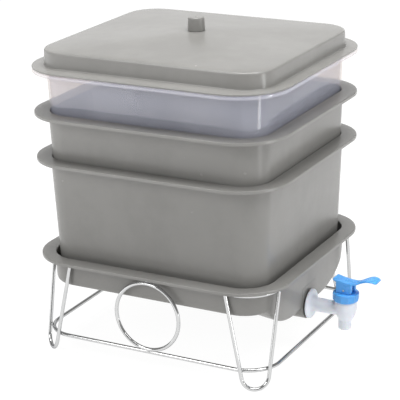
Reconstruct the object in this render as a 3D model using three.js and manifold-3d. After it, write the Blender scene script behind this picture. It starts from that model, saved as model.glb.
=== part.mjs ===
// Stacking worm composter: a wire stand, a drip base with a tap, three nested trays and a lid.
// Millimetres, +Z up. The origin is on the floor, under the middle of the whole with its tap.
// +X is the side with the tap, -Y is the long front side with the wire circle.
import * as THREE from 'three';
import { mergeVertices } from 'three/addons/utils/BufferGeometryUtils.js';
import Module from 'manifold-3d';

const wasm = await Module();
wasm.setup();

// Driving dimensions

// Running and seating clearance between neighbouring pieces
const FIT_GAP = 0.3;
// How far a cutting tool runs past the face that it opens
const OVERRUN = 1;

// The rim that the base, the trays and the lid share
const RIM_WIDTH = 350;
const RIM_DEPTH = 322;
const RIM_RADIUS = 65;
const FLANGE_THICKNESS = 2.2;
const LIP_HEIGHT = 4;
const LIP_THICKNESS = 2;
const RIM_EDGE_ROUND = 0.9;

// Trays: how far one rises above the next, and their shell
const NEST_STEP = 59.5;
const FEED_STEP = 56.2;
const FEED_LIP_HEIGHT = 4.6;
const TRAY_HEIGHT = 154;
const TRAY_INSET = 20.3;
const TRAY_CORNER_RADIUS = 38;
const TRAY_WALL = 2.4;
const TRAY_FLOOR = 2.2;
const TRAY_FILLET = 7;
const MOUTH_CHAMFER = 0.8;
// The taper that lets one tray sit inside the next with its walls just clear
const NEST_DRAFT = (TRAY_WALL + FIT_GAP) / NEST_STEP;

// Drain holes in the floors of the trays
const DRAIN_HOLE_DIAMETER = 6;
const DRAIN_HOLE_PITCH = 46;
const DRAIN_HOLE_MARGIN = 16;

// Wire stand
const WIRE_DIAMETER = 4.8;
const RING_SIDE_INSET = 12.5;
const RING_FRONT_INSET = 15.5;
const RING_RADIUS = 42;
const TOP_RING_HEIGHT = 124.5;
const LOWER_RING_HEIGHT = 26;
const CIRCLE_SHORTFALL = 9;
const LEG_TOP_HALF_WIDTH = 33.4;
const LEG_LOW_HALF_WIDTH = 18.5;
const LEG_TOP_REACH = 27.8;
const TAP_END_LEG_DEGREES = 54.5;
const FAR_END_LEG_DEGREES = 49;

// Base tray
const BASE_HEIGHT = 37.8;
const BASE_INSET = 18;
const BASE_CORNER_RADIUS = 42;
const BASE_DRAFT_SHARE = 0.055;
const BASE_WALL = 2.5;
const BASE_FLOOR = 2.5;
const BASE_FILLET = 6;
const BASE_STEP = 130;
const SEAT_RIB_DROP = 3.1;
const SEAT_RIB_THICKNESS = 3;
const SEAT_RIB_END_INSET = 6;
const PEG_TOP_RADIUS = 6;
const PEG_FOOT_RADIUS = 8;
const PEG_EDGE_INSET = 66;

// Valley in the base tray's floor, and the pocket behind the tap
const VALLEY_DEPTH = 32.5;
const VALLEY_LENGTH = 150;
const VALLEY_FLAT_HALF_WIDTH = 40;
const VALLEY_HALF_WIDTH = 112;
const POCKET_DROP = 86;
const POCKET_LENGTH = 37;
const POCKET_HALF_WIDTH = 20;
const POCKET_CORNER = 16;
const PAD_INSET = 19;
const PAD_TOP_DROP = 40.5;

// Lid
const LID_PANEL_WIDTH = 315.6;
const LID_PANEL_DEPTH = 278;
const LID_PANEL_RADIUS = 39;
const LID_PANEL_FLARE = 0.8;
const LID_FLANGE_THICKNESS = 1.4;
const LID_LIP_HEIGHT = 2;
const LID_WALL_HEIGHT = 20.8;
const LID_EDGE_ROUND = 3;
const LID_PEAK_RISE = 10;
const LID_THICKNESS = 2.2;
const LID_RIB_DROP = 5;
const LID_RIB_THICKNESS = 2;
const LID_RIB_CLEARANCE = 1.2;

// Knob and its screw
const KNOB_FOOT_DIAMETER = 22.2;
const KNOB_TOP_DIAMETER = 20.8;
const KNOB_HEIGHT = 17.2;
const KNOB_EDGE_ROUND = 2.5;
const KNOB_PAD_MARGIN = 3;
const KNOB_PIP_RADIUS = 1.2;
const KNOB_PIP_HEIGHT = 0.5;
const SCREW_DIAMETER = 4;
const SCREW_GRIP = 11.5;
const SCREW_HEAD_DIAMETER = 8.4;
const SCREW_HEAD_HEIGHT = 1.6;

// Tap
const TAP_DROP = 67.2;
const TAP_STAND_OFF = 51.5;
const TAP_PIPE_RADIUS = 9;
const TAP_PIPE_BORE_RADIUS = 5;
const TAP_FLANGE_RADIUS = 19.5;
const TAP_FLANGE_RIM = 1.5;
const TAP_FLANGE_CROWN = 3;
const TAP_THREAD_RADIUS = 8;
const TAP_THREAD_CLEARANCE = 0.5;
const WASHER_THICKNESS = 1.5;
const WASHER_RADIUS = 17;
const INNER_WASHER_THICKNESS = 2;
const INNER_WASHER_RADIUS = 14;
const NUT_THICKNESS = 7;
const NUT_RADIUS = 15;
const THREAD_END_LENGTH = 2.5;
const BULB_RADIUS = 14.3;
const SPOUT_RADIUS = 8.3;
const SPOUT_SET_BACK = 1.2;
const SPOUT_BORE_RADIUS = 5.2;
const SPOUT_DROP = 26.2;
const SPOUT_LENGTH = 13;
const BULB_BOTTOM_ROUND = 14.5;
const SPOUT_EDGE_ROUND = 0.8;
const BULB_TOP_RISE = 12.7;
const NECK_RADIUS = 13;
const NECK_HEIGHT = 5.3;
const CHAMBER_RADIUS = 9.5;
const SEAT_RISE = 4.5;
const COLLAR_RADIUS = 17;
const COLLAR_TOP_THICKNESS = 3;
const COLLAR_HOLE_RADIUS = 4.8;
const COLLAR_EDGE_ROUND = 1.6;
const COLLAR_FOOT_ROUND = 2.4;
const COLLAR_RIB_DEPTH = 0.5;
const COLLAR_RIBS = 12;
const GLAND_THICKNESS = 3;
const GLAND_SPIGOT_LENGTH = 3;

// Valve inside the tap
const STEM_RADIUS = 3;
const STEM_DISC_RADIUS = 5.5;
const STEM_DISC_THICKNESS = 1.2;
const TONGUE_THICKNESS = 7;
const TONGUE_WIDTH = 9;
const TONGUE_HEIGHT = 8.2;
const PLUG_RADIUS = 7.5;
const PLUG_HEIGHT = 6.1;
const PLUG_SOCKET_DEPTH = 4;
const SPRING_WIRE_RADIUS = 0.6;
const SPRING_RADIUS = 4.6;
const SPRING_CURLS = 5;

// Lever
const PIN_RADIUS = 1.3;
const PIN_RISE = 4;
const PIN_PROUD = 0.2;
const CHEEK_LENGTH = 20.6;
const CHEEK_ROUND = 3;
const LEVER_WIDTH = 18;
const SLOT_WIDTH = 8;
const SLOT_HEIGHT = 13.1;
const LEVER_TOP_RISE = 14.6;
const TAIL_OVERHANG = 4;
const STRIP_THICKNESS = 4.4;
const PADDLE_REACH = 44;
const PADDLE_HALF_WIDTH = 10.8;
const PADDLE_RISE = 8;

// Facets
const CORNER_STEPS = 5;
const WIRE_SIDES = 8;
const ARC_STEPS = 8;
const BEND_STEPS = 3;
const CIRCLE_STEPS = 28;
const HOLE_SIDES = 6;
const ROUND_SIDES = 20;
const SMALL_SIDES = 12;

// Heights and places that follow

const RING_WIDTH = RIM_WIDTH - RING_SIDE_INSET * 2;
const RING_DEPTH = RIM_DEPTH - RING_FRONT_INSET * 2;
const PAD_REACH = RIM_WIDTH / 2 - PAD_INSET;
const TAP_REACH = PAD_REACH + TAP_STAND_OFF;
const CIRCLE_DIAMETER = TOP_RING_HEIGHT - LOWER_RING_HEIGHT - CIRCLE_SHORTFALL;
const WIRE_RADIUS = WIRE_DIAMETER / 2;
const BASE_RIM_TOP = TOP_RING_HEIGHT + WIRE_RADIUS + FIT_GAP + SEAT_RIB_DROP + FLANGE_THICKNESS;
const BASE_BOTTOM = BASE_RIM_TOP - BASE_HEIGHT;
const POCKET_BOTTOM_HEIGHT = BASE_RIM_TOP - POCKET_DROP;
const PAD_TOP_HEIGHT = BASE_RIM_TOP - PAD_TOP_DROP;
const TAP_HEIGHT = BASE_RIM_TOP - TAP_DROP;
const SPOUT_BOTTOM_HEIGHT = TAP_HEIGHT - SPOUT_DROP;
const LOWER_RIM_TOP = BASE_RIM_TOP + BASE_STEP;
const UPPER_RIM_TOP = LOWER_RIM_TOP + NEST_STEP;
const FEED_RIM_TOP = UPPER_RIM_TOP + FEED_STEP;
const LID_SEAT = FEED_RIM_TOP + FIT_GAP;
const LID_FLANGE_TOP = LID_SEAT + LID_LIP_HEIGHT;
const LID_EDGE_HEIGHT = LID_FLANGE_TOP + LID_WALL_HEIGHT;
const LID_PEAK_HEIGHT = LID_EDGE_HEIGHT + LID_PEAK_RISE;
const BULB_BOTTOM = SPOUT_BOTTOM_HEIGHT + SPOUT_LENGTH;
const SEAT_HEIGHT = BULB_BOTTOM + SEAT_RISE;
const NECK_FOOT = TAP_HEIGHT + BULB_TOP_RISE;
const NECK_TOP = NECK_FOOT + NECK_HEIGHT;
const COLLAR_TOP = NECK_TOP + GLAND_THICKNESS + COLLAR_TOP_THICKNESS + FIT_GAP * 2;
const PIN_HEIGHT = COLLAR_TOP + FIT_GAP + PIN_RISE;

// Helpers

const vec = (x, y, z) => new THREE.Vector3(x, y, z);
const mix = (a, b, t) => a + (b - a) * t;
const quarter = Math.PI / 2;

// Turns a closed triangle mesh into a solid, with its faces pointing out
function toSolid(geometry) {
  const plain = geometry.clone();
  plain.deleteAttribute('normal');
  plain.deleteAttribute('uv');
  const merged = mergeVertices(plain);
  const positions = merged.attributes.position.array;
  const corner = (i) => vec(positions[3 * i], positions[3 * i + 1], positions[3 * i + 2]);
  const source = merged.index.array;
  const faces = [];
  let volume = 0;
  for (let i = 0; i < source.length; i += 3) {
    const [a, b, c] = [source[i], source[i + 1], source[i + 2]];
    if (a === b || b === c || c === a) continue;
    faces.push([a, b, c]);
    volume += corner(a).dot(corner(b).cross(corner(c)));
  }
  const order = volume < 0 ? faces.map(([a, b, c]) => [a, c, b]) : faces;
  return new wasm.Manifold(new wasm.Mesh({
    numProp: 3,
    vertProperties: new Float32Array(positions),
    triVerts: new Uint32Array(order.flat()),
  }));
}

// Turns a solid back into a geometry
function toGeometry(solid) {
  const mesh = solid.getMesh();
  const points = new Float32Array(mesh.numVert * 3);
  for (let i = 0; i < mesh.numVert; i += 1) {
    const start = i * mesh.numProp;
    points.set(mesh.vertProperties.subarray(start, start + 3), i * 3);
  }
  const geometry = new THREE.BufferGeometry();
  geometry.setAttribute('position', new THREE.BufferAttribute(points, 3));
  geometry.setIndex(new THREE.BufferAttribute(mesh.triVerts.slice(), 1));
  geometry.computeVertexNormals();
  return geometry;
}

const joined = (solids) => solids.reduce((a, b) => a.add(b));
const without = (solid, cuts) => cuts.reduce((a, b) => a.subtract(b), solid);

// Points of a rounded rectangle, anticlockwise, with extra points along its straight sides
function outline(halfX, halfY, radius, sides) {
  const points = [];
  const corners = [[1, 1, 0], [-1, 1, 1], [-1, -1, 2], [1, -1, 3]];
  const counts = [sides.back, sides.left, sides.front, sides.right];
  corners.forEach(([signX, signY, turn], n) => {
    for (let i = 0; i <= CORNER_STEPS; i += 1) {
      const angle = (turn + i / CORNER_STEPS) * quarter;
      points.push([
        signX * (halfX - radius) + radius * Math.cos(angle),
        signY * (halfY - radius) + radius * Math.sin(angle),
      ]);
    }
    const [nextX, nextY, nextTurn] = corners[(n + 1) % corners.length];
    const angle = nextTurn * quarter;
    const end = [
      nextX * (halfX - radius) + radius * Math.cos(angle),
      nextY * (halfY - radius) + radius * Math.sin(angle),
    ];
    const start = points[points.length - 1];
    for (let i = 1; i <= counts[n]; i += 1) {
      const t = i / (counts[n] + 1);
      points.push([mix(start[0], end[0], t), mix(start[1], end[1], t)]);
    }
  });
  return points;
}

const PLAIN_SIDES = { back: 0, left: 0, front: 0, right: 0 };

// Skins a list of rings with the same number of points. Without closing points it joins end to end.
function loft(rings, startPoint, endPoint) {
  const count = rings[0].length;
  const points = rings.flat();
  const index = [];
  const last = startPoint ? rings.length - 1 : rings.length;
  for (let r = 0; r < last; r += 1) {
    const here = r * count;
    const next = ((r + 1) % rings.length) * count;
    for (let i = 0; i < count; i += 1) {
      const j = (i + 1) % count;
      index.push(here + i, next + i, next + j, here + i, next + j, here + j);
    }
  }
  if (startPoint) {
    const first = points.length;
    points.push(startPoint, endPoint);
    const tail = (rings.length - 1) * count;
    for (let i = 0; i < count; i += 1) {
      const j = (i + 1) % count;
      index.push(first, i, j, tail + i, first + 1, tail + j);
    }
  }
  const geometry = new THREE.BufferGeometry();
  geometry.setAttribute('position', new THREE.Float32BufferAttribute(points.flat(), 3));
  geometry.setIndex(index);
  return geometry;
}

// A round tube along points. Each point's reference direction sets where its ring starts.
// With a level, both ends are cut flat at that height.
function tube(points, references, radius, sides, isClosed, level) {
  const rings = points.map((point, i) => {
    const before = points[isClosed ? (i + points.length - 1) % points.length : Math.max(i - 1, 0)];
    const after = points[isClosed ? (i + 1) % points.length : Math.min(i + 1, points.length - 1)];
    const along = after.clone().sub(point).normalize()
      .add(point.clone().sub(before).normalize()).normalize();
    const first = references[i].clone().addScaledVector(along, -references[i].dot(along)).normalize();
    const second = first.clone().cross(along);
    const isCut = level !== undefined && (i === 0 || i === points.length - 1);
    return Array.from({ length: sides }, (_, k) => {
      const angle = (k / sides) * Math.PI * 2;
      const place = point.clone()
        .addScaledVector(first, radius * Math.cos(angle))
        .addScaledVector(second, radius * Math.sin(angle));
      return (isCut ? place.addScaledVector(along, (level - place.z) / along.z) : place).toArray();
    });
  });
  if (isClosed) return loft(rings);
  return loft(rings, points[0].toArray(), points[points.length - 1].toArray());
}

// A turned shape round Z: the profile is a list of [radius, height]
function turned(profile, sides) {
  const lathe = new THREE.LatheGeometry(profile.map(([r, h]) => new THREE.Vector2(r, h)), sides);
  return lathe.rotateX(quarter);
}

function cylinder(radius, from, to, sides) {
  return turned([[0, from], [radius, from], [radius, to], [0, to]], sides);
}

// Lays a shape that was made along Z along X, with its zero at the tap's axis
const alongX = (geometry) => geometry.rotateY(quarter);

function box(low, high) {
  const size = high.map((value, i) => value - low[i]);
  return new THREE.BoxGeometry(...size)
    .translate(...low.map((value, i) => value + size[i] / 2));
}

// Points of a quarter round between two directions, as [inset, drop] shares of its radius
function quarterRound(steps) {
  return Array.from({ length: steps + 1 }, (_, i) => {
    const angle = (i / steps) * quarter;
    return [1 - Math.cos(angle), Math.sin(angle)];
  });
}

// Materials

const material = (color, roughness, metalness = 0) =>
  new THREE.MeshStandardMaterial({ color, roughness, metalness });
const greyPlastic = () => material(0x8f8e89, 0.42);
const clearPlastic = () => {
  const clear = material(0xdfe3ea, 0.25);
  clear.transparent = true;
  clear.opacity = 0.5;
  return clear;
};
const chrome = () => material(0xd8dadc, 0.12, 1);
const whitePlastic = () => material(0xe6e7ee, 0.35);
const bluePlastic = () => material(0x3f9df2, 0.3);
const blackRubber = () => material(0x2a2a2b, 0.8);
const steel = () => material(0xb9bcc0, 0.3, 1);

// The stack stands off centre, so that the origin is under the middle of the stack and its tap
const group = new THREE.Group();
const stack = new THREE.Group();
stack.position.x = -(TAP_REACH + PADDLE_REACH - RIM_WIDTH / 2) / 2;
group.add(stack);

function addPiece(name, geometry, look, place = [0, 0, 0]) {
  const mesh = new THREE.Mesh(geometry, look);
  mesh.name = name;
  mesh.position.set(...place);
  stack.add(mesh);
}

// Wire stand

function ringGeometry(height) {
  const points = outline(RING_WIDTH / 2, RING_DEPTH / 2, RING_RADIUS, PLAIN_SIDES)
    .map(([x, y]) => vec(x, y, height));
  return tube(points, points.map(() => vec(0, 0, 1)), WIRE_RADIUS, WIRE_SIDES, true);
}

// A hairpin leg: two wires that close in on a round foot, in a plane that leans out over its drop.
// The legs at the tap's end stand a little further round the corners, to leave the tap room.
function legGeometry(signX, signY) {
  const topHeight = TOP_RING_HEIGHT - WIRE_RADIUS - FIT_GAP;
  const clearRadius = RING_RADIUS + WIRE_DIAMETER + FIT_GAP;
  const lowReach = Math.sqrt(clearRadius ** 2 - LEG_LOW_HALF_WIDTH ** 2);
  const drop = topHeight - LOWER_RING_HEIGHT;
  const lean = (lowReach - LEG_TOP_REACH) / drop;
  const slant = Math.hypot(1, lean);
  const closing = (LEG_TOP_HALF_WIDTH - LEG_LOW_HALF_WIDTH) / drop / slant;
  const angle = Math.atan(closing);
  const footHeight = WIRE_RADIUS / slant;
  const length = (topHeight - footHeight) * slant;
  const bend = ((LEG_TOP_HALF_WIDTH - closing * length) * Math.cos(angle))
    / (1 - closing * Math.cos(angle));
  const flat = [[LEG_TOP_HALF_WIDTH, 0]];
  for (let i = 0; i <= ARC_STEPS; i += 1) {
    const turn = mix(angle, Math.PI - angle, i / ARC_STEPS);
    flat.push([bend * Math.cos(turn), length - bend + bend * Math.sin(turn)]);
  }
  flat.push([-LEG_TOP_HALF_WIDTH, 0]);
  const plan = THREE.MathUtils.degToRad(signX > 0 ? TAP_END_LEG_DEGREES : FAR_END_LEG_DEGREES);
  const out = vec(signX * Math.cos(plan), signY * Math.sin(plan), 0);
  const across = vec(-out.y, out.x, 0);
  const centre = vec(
    signX * (RING_WIDTH / 2 - RING_RADIUS),
    signY * (RING_DEPTH / 2 - RING_RADIUS),
    0,
  );
  const points = flat.map(([u, v]) => centre.clone()
    .addScaledVector(out, LEG_TOP_REACH + (lean * v) / slant)
    .addScaledVector(across, u)
    .setZ(topHeight - v / slant));
  const down = out.clone().multiplyScalar(lean).setZ(-1).normalize();
  const facing = across.clone().cross(down);
  const references = points.map((point, i) => {
    const before = points[Math.max(i - 1, 0)];
    const after = points[Math.min(i + 1, points.length - 1)];
    return after.clone().sub(before).cross(facing).normalize();
  });
  return tube(points, references, WIRE_RADIUS, WIRE_SIDES, false, topHeight);
}

// A wire circle in front of both rings, welded to them where it crosses them
function circleGeometry(signY) {
  const radius = CIRCLE_DIAMETER / 2;
  const halfRise = (TOP_RING_HEIGHT - LOWER_RING_HEIGHT) / 2;
  const miss = halfRise - radius;
  const stand = Math.sqrt((WIRE_DIAMETER + FIT_GAP) ** 2 - miss ** 2);
  const torus = new THREE.TorusGeometry(radius, WIRE_RADIUS, WIRE_SIDES, CIRCLE_STEPS);
  return torus.rotateX(quarter).translate(
    0,
    signY * (RING_DEPTH / 2 + stand),
    LOWER_RING_HEIGHT + halfRise,
  );
}

addPiece('stand_top_ring', ringGeometry(TOP_RING_HEIGHT), chrome());
addPiece('stand_lower_ring', ringGeometry(LOWER_RING_HEIGHT), chrome());
addPiece('leg_front_right', legGeometry(1, -1), chrome());
addPiece('leg_front_left', legGeometry(-1, -1), chrome());
addPiece('leg_back_left', legGeometry(-1, 1), chrome());
addPiece('leg_back_right', legGeometry(1, 1), chrome());
addPiece('circle_front', circleGeometry(-1), chrome());
addPiece('circle_back', circleGeometry(1), chrome());

// Trays

// One ring of a rimmed tray, at an inset from the rim's edge
function rimRing(inset, radius, height, sides, lower = () => 0) {
  return outline(RIM_WIDTH / 2 - inset, RIM_DEPTH / 2 - inset, radius, sides)
    .map(([x, y]) => [x, y, height - lower(x, y)]);
}

// The outside and the inside of a shell with a rim, drafted walls and a filleted floor.
// The floor can be lowered in places, on both sides alike.
function shellSolids(spec) {
  const { rimTop, height, lip, inset, radius, draft, wall, floor, fillet, sides, floorShares } = spec;
  const lower = spec.lower ?? (() => 0);
  const bottom = rimTop - height;
  const wallInset = (z) => inset + draft * (rimTop - z);
  const wallRadius = (z) => radius - draft * (rimTop - z);
  const at = (edge, round, z) => rimRing(edge, round, z, sides);
  const floorRings = (edge, round, z) => floorShares.map((share) => outline(
    (RIM_WIDTH / 2 - edge) * share,
    (RIM_DEPTH / 2 - edge) * share,
    round * share,
    sides,
  ).map(([x, y]) => [x, y, z - lower(x, y)]));
  const bendRings = (edge, round, top, bend) => quarterRound(BEND_STEPS).map(([side, drop]) =>
    rimRing(edge + bend * side, round - bend * side, top - bend * drop, sides, lower));

  const under = rimTop - FLANGE_THICKNESS;
  const bendTop = bottom + fillet;
  const outside = loft([
    at(RIM_EDGE_ROUND, RIM_RADIUS - RIM_EDGE_ROUND, rimTop),
    at(0, RIM_RADIUS, rimTop - RIM_EDGE_ROUND),
    at(0, RIM_RADIUS, rimTop - lip),
    at(LIP_THICKNESS, RIM_RADIUS - LIP_THICKNESS, rimTop - lip),
    at(LIP_THICKNESS, RIM_RADIUS - LIP_THICKNESS, under),
    at(wallInset(under), wallRadius(under), under),
    ...bendRings(wallInset(bendTop), wallRadius(bendTop), bendTop, fillet),
    ...floorRings(wallInset(bendTop) + fillet, wallRadius(bendTop) - fillet, bottom).reverse(),
  ], [0, 0, rimTop], [0, 0, bottom - lower(0, 0)]);

  const bend = fillet - wall;
  const floorTop = bottom + floor;
  const innerTop = floorTop + bend;
  const innerEdge = wallInset(innerTop) + wall;
  const innerRadius = wallRadius(innerTop) - wall;
  const mouth = inset + wall;
  const mouthRadius = radius - wall;
  const inside = loft([
    at(mouth - MOUTH_CHAMFER - OVERRUN, mouthRadius + MOUTH_CHAMFER + OVERRUN, rimTop + OVERRUN),
    at(mouth, mouthRadius, rimTop - MOUTH_CHAMFER),
    ...bendRings(innerEdge, innerRadius, innerTop, bend),
    ...floorRings(innerEdge + bend, innerRadius - bend, floorTop).reverse(),
  ], [0, 0, rimTop + OVERRUN], [0, 0, floorTop - lower(0, 0)]);
  return { outside: toSolid(outside), inside: toSolid(inside) };
}

// Places of a centred grid that fits in a span
function gridPlaces(span, pitch) {
  const count = Math.floor(span / pitch) + 1;
  return Array.from({ length: count }, (_, i) => (i - (count - 1) / 2) * pitch);
}

// A tray, made with the top of its rim at height 0
function trayGeometry(inset, lip) {
  const { outside, inside } = shellSolids({
    rimTop: 0,
    height: TRAY_HEIGHT,
    lip,
    inset,
    radius: TRAY_CORNER_RADIUS,
    draft: NEST_DRAFT,
    wall: TRAY_WALL,
    floor: TRAY_FLOOR,
    fillet: TRAY_FILLET,
    sides: PLAIN_SIDES,
    floorShares: [],
  });
  const edge = inset + NEST_DRAFT * TRAY_HEIGHT + TRAY_WALL + TRAY_FILLET + DRAIN_HOLE_MARGIN;
  const hole = toSolid(cylinder(
    DRAIN_HOLE_DIAMETER / 2,
    -TRAY_HEIGHT - OVERRUN,
    -TRAY_HEIGHT + TRAY_FLOOR + OVERRUN,
    HOLE_SIDES,
  ));
  const holes = gridPlaces(RIM_WIDTH - edge * 2, DRAIN_HOLE_PITCH).flatMap((x) =>
    gridPlaces(RIM_DEPTH - edge * 2, DRAIN_HOLE_PITCH).map((y) => hole.translate([x, y, 0])));
  return toGeometry(without(outside, [inside, joined(holes)]));
}

// The feed tray sits lower in the tray below, so its walls stand further in for the same clearance
const wormTray = trayGeometry(TRAY_INSET, LIP_HEIGHT);
const feedTray = trayGeometry(TRAY_INSET + NEST_DRAFT * (NEST_STEP - FEED_STEP), FEED_LIP_HEIGHT);
addPiece('lower_tray', wormTray, greyPlastic(), [0, 0, LOWER_RIM_TOP]);
addPiece('upper_tray', wormTray, greyPlastic(), [0, 0, UPPER_RIM_TOP]);
addPiece('feed_tray', feedTray, clearPlastic(), [0, 0, FEED_RIM_TOP]);

// Base tray

const BASE_SIDES = { back: 7, left: 0, front: 7, right: 10 };
const VALLEY_RING_SHARES = [0.25, 0.5, 0.7, 0.86];
const VALLEY_CURVE_SHARE = 0.7;
const PEG_SHARES = [[1, 1], [0, 1], [-1, 1], [-1, -1], [0, -1], [1, -1]];
const FRONT_RIB_SHARES = [-0.8, -0.4, 0, 0.4, 0.8];
const SIDE_RIB_SHARES = [-0.7, 0.7];

// How far the floor lies below its level part: it falls to the tap between two soft shoulders
function valley(x, y) {
  const run = RIM_WIDTH / 2 - BASE_INSET - VALLEY_LENGTH;
  const along = THREE.MathUtils.clamp((x - run) / VALLEY_LENGTH, 0, 1);
  const spread = (Math.abs(y) - VALLEY_FLAT_HALF_WIDTH) / (VALLEY_HALF_WIDTH - VALLEY_FLAT_HALF_WIDTH);
  const side = THREE.MathUtils.clamp(spread, 0, 1);
  return VALLEY_DEPTH * along * (1 - side ** 2) ** VALLEY_CURVE_SHARE;
}

const baseWallInset = (z) => BASE_INSET + BASE_DRAFT_SHARE * (BASE_RIM_TOP - z);

// The pocket behind the tap, larger by a wall outside than inside
function pocketSolid(wall, top) {
  const shape = new THREE.Shape();
  const half = POCKET_HALF_WIDTH - wall;
  const bottom = POCKET_BOTTOM_HEIGHT + wall;
  const round = POCKET_CORNER - wall;
  shape.moveTo(-half, top);
  shape.lineTo(-half, bottom + round);
  shape.absarc(-half + round, bottom + round, round, Math.PI, Math.PI + quarter, false);
  shape.absarc(half - round, bottom + round, round, -quarter, 0, false);
  shape.lineTo(half, top);
  const depth = POCKET_LENGTH - wall * 2;
  const geometry = new THREE.ExtrudeGeometry(shape, { depth, bevelEnabled: false, curveSegments: 5 });
  geometry.rotateX(quarter).rotateZ(quarter).translate(PAD_REACH - wall - depth, 0, 0);
  return toSolid(geometry);
}

function pegSolid(x, y) {
  const foot = BASE_BOTTOM + BASE_FLOOR / 2 - valley(x, y);
  const top = LOWER_RIM_TOP - TRAY_HEIGHT - FIT_GAP;
  return toSolid(turned([[0, foot], [PEG_FOOT_RADIUS, foot], [PEG_TOP_RADIUS, top], [0, top]], SMALL_SIDES))
    .translate([x, y, 0]);
}

// Short ribs under the rim, which rest on the stand's top ring
function seatRibs() {
  const low = BASE_RIM_TOP - FLANGE_THICKNESS - SEAT_RIB_DROP;
  const high = BASE_RIM_TOP - FLANGE_THICKNESS / 2;
  const inner = baseWallInset(low) + BASE_WALL / 2;
  const half = SEAT_RIB_THICKNESS / 2;
  const spanX = RIM_WIDTH / 2 - RIM_RADIUS;
  const spanY = RIM_DEPTH / 2 - RIM_RADIUS;
  const frontRib = (signY) => FRONT_RIB_SHARES.map((share) => {
    const ends = [RIM_DEPTH / 2 - inner, RIM_DEPTH / 2 - SEAT_RIB_END_INSET].map((v) => v * signY);
    const x = share * spanX;
    return box([x - half, Math.min(...ends), low], [x + half, Math.max(...ends), high]);
  });
  const sideRib = (signX) => SIDE_RIB_SHARES.map((share) => {
    const ends = [RIM_WIDTH / 2 - inner, RIM_WIDTH / 2 - SEAT_RIB_END_INSET].map((v) => v * signX);
    const y = share * spanY;
    return box([Math.min(...ends), y - half, low], [Math.max(...ends), y + half, high]);
  });
  return [...frontRib(-1), ...frontRib(1), ...sideRib(-1), ...sideRib(1)].map(toSolid);
}

function baseGeometry() {
  const { outside, inside } = shellSolids({
    rimTop: BASE_RIM_TOP,
    height: BASE_HEIGHT,
    lip: LIP_HEIGHT,
    inset: BASE_INSET,
    radius: BASE_CORNER_RADIUS,
    draft: BASE_DRAFT_SHARE,
    wall: BASE_WALL,
    floor: BASE_FLOOR,
    fillet: BASE_FILLET,
    sides: BASE_SIDES,
    floorShares: VALLEY_RING_SHARES,
    lower: valley,
  });
  const pegX = RIM_WIDTH / 2 - PEG_EDGE_INSET;
  const pegY = RIM_DEPTH / 2 - PEG_EDGE_INSET;
  const pegs = PEG_SHARES.map(([shareX, shareY]) => pegSolid(pegX * shareX, pegY * shareY));
  const hole = toSolid(alongX(cylinder(
    TAP_THREAD_RADIUS + TAP_THREAD_CLEARANCE,
    PAD_REACH - POCKET_LENGTH / 2,
    PAD_REACH + OVERRUN,
    ROUND_SIDES,
  ))).translate([0, 0, TAP_HEIGHT]);
  const shell = outside.add(pocketSolid(0, PAD_TOP_HEIGHT)).subtract(inside);
  const drained = without(shell, [pocketSolid(BASE_WALL, PAD_TOP_HEIGHT - BASE_WALL), hole]);
  return toGeometry(joined([drained, joined(pegs).intersect(outside), ...seatRibs()]));
}

addPiece('base_tray', baseGeometry(), greyPlastic());

// Lid, knob and screw

const LID_SLOPE_SHARES = [0.62];

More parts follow.
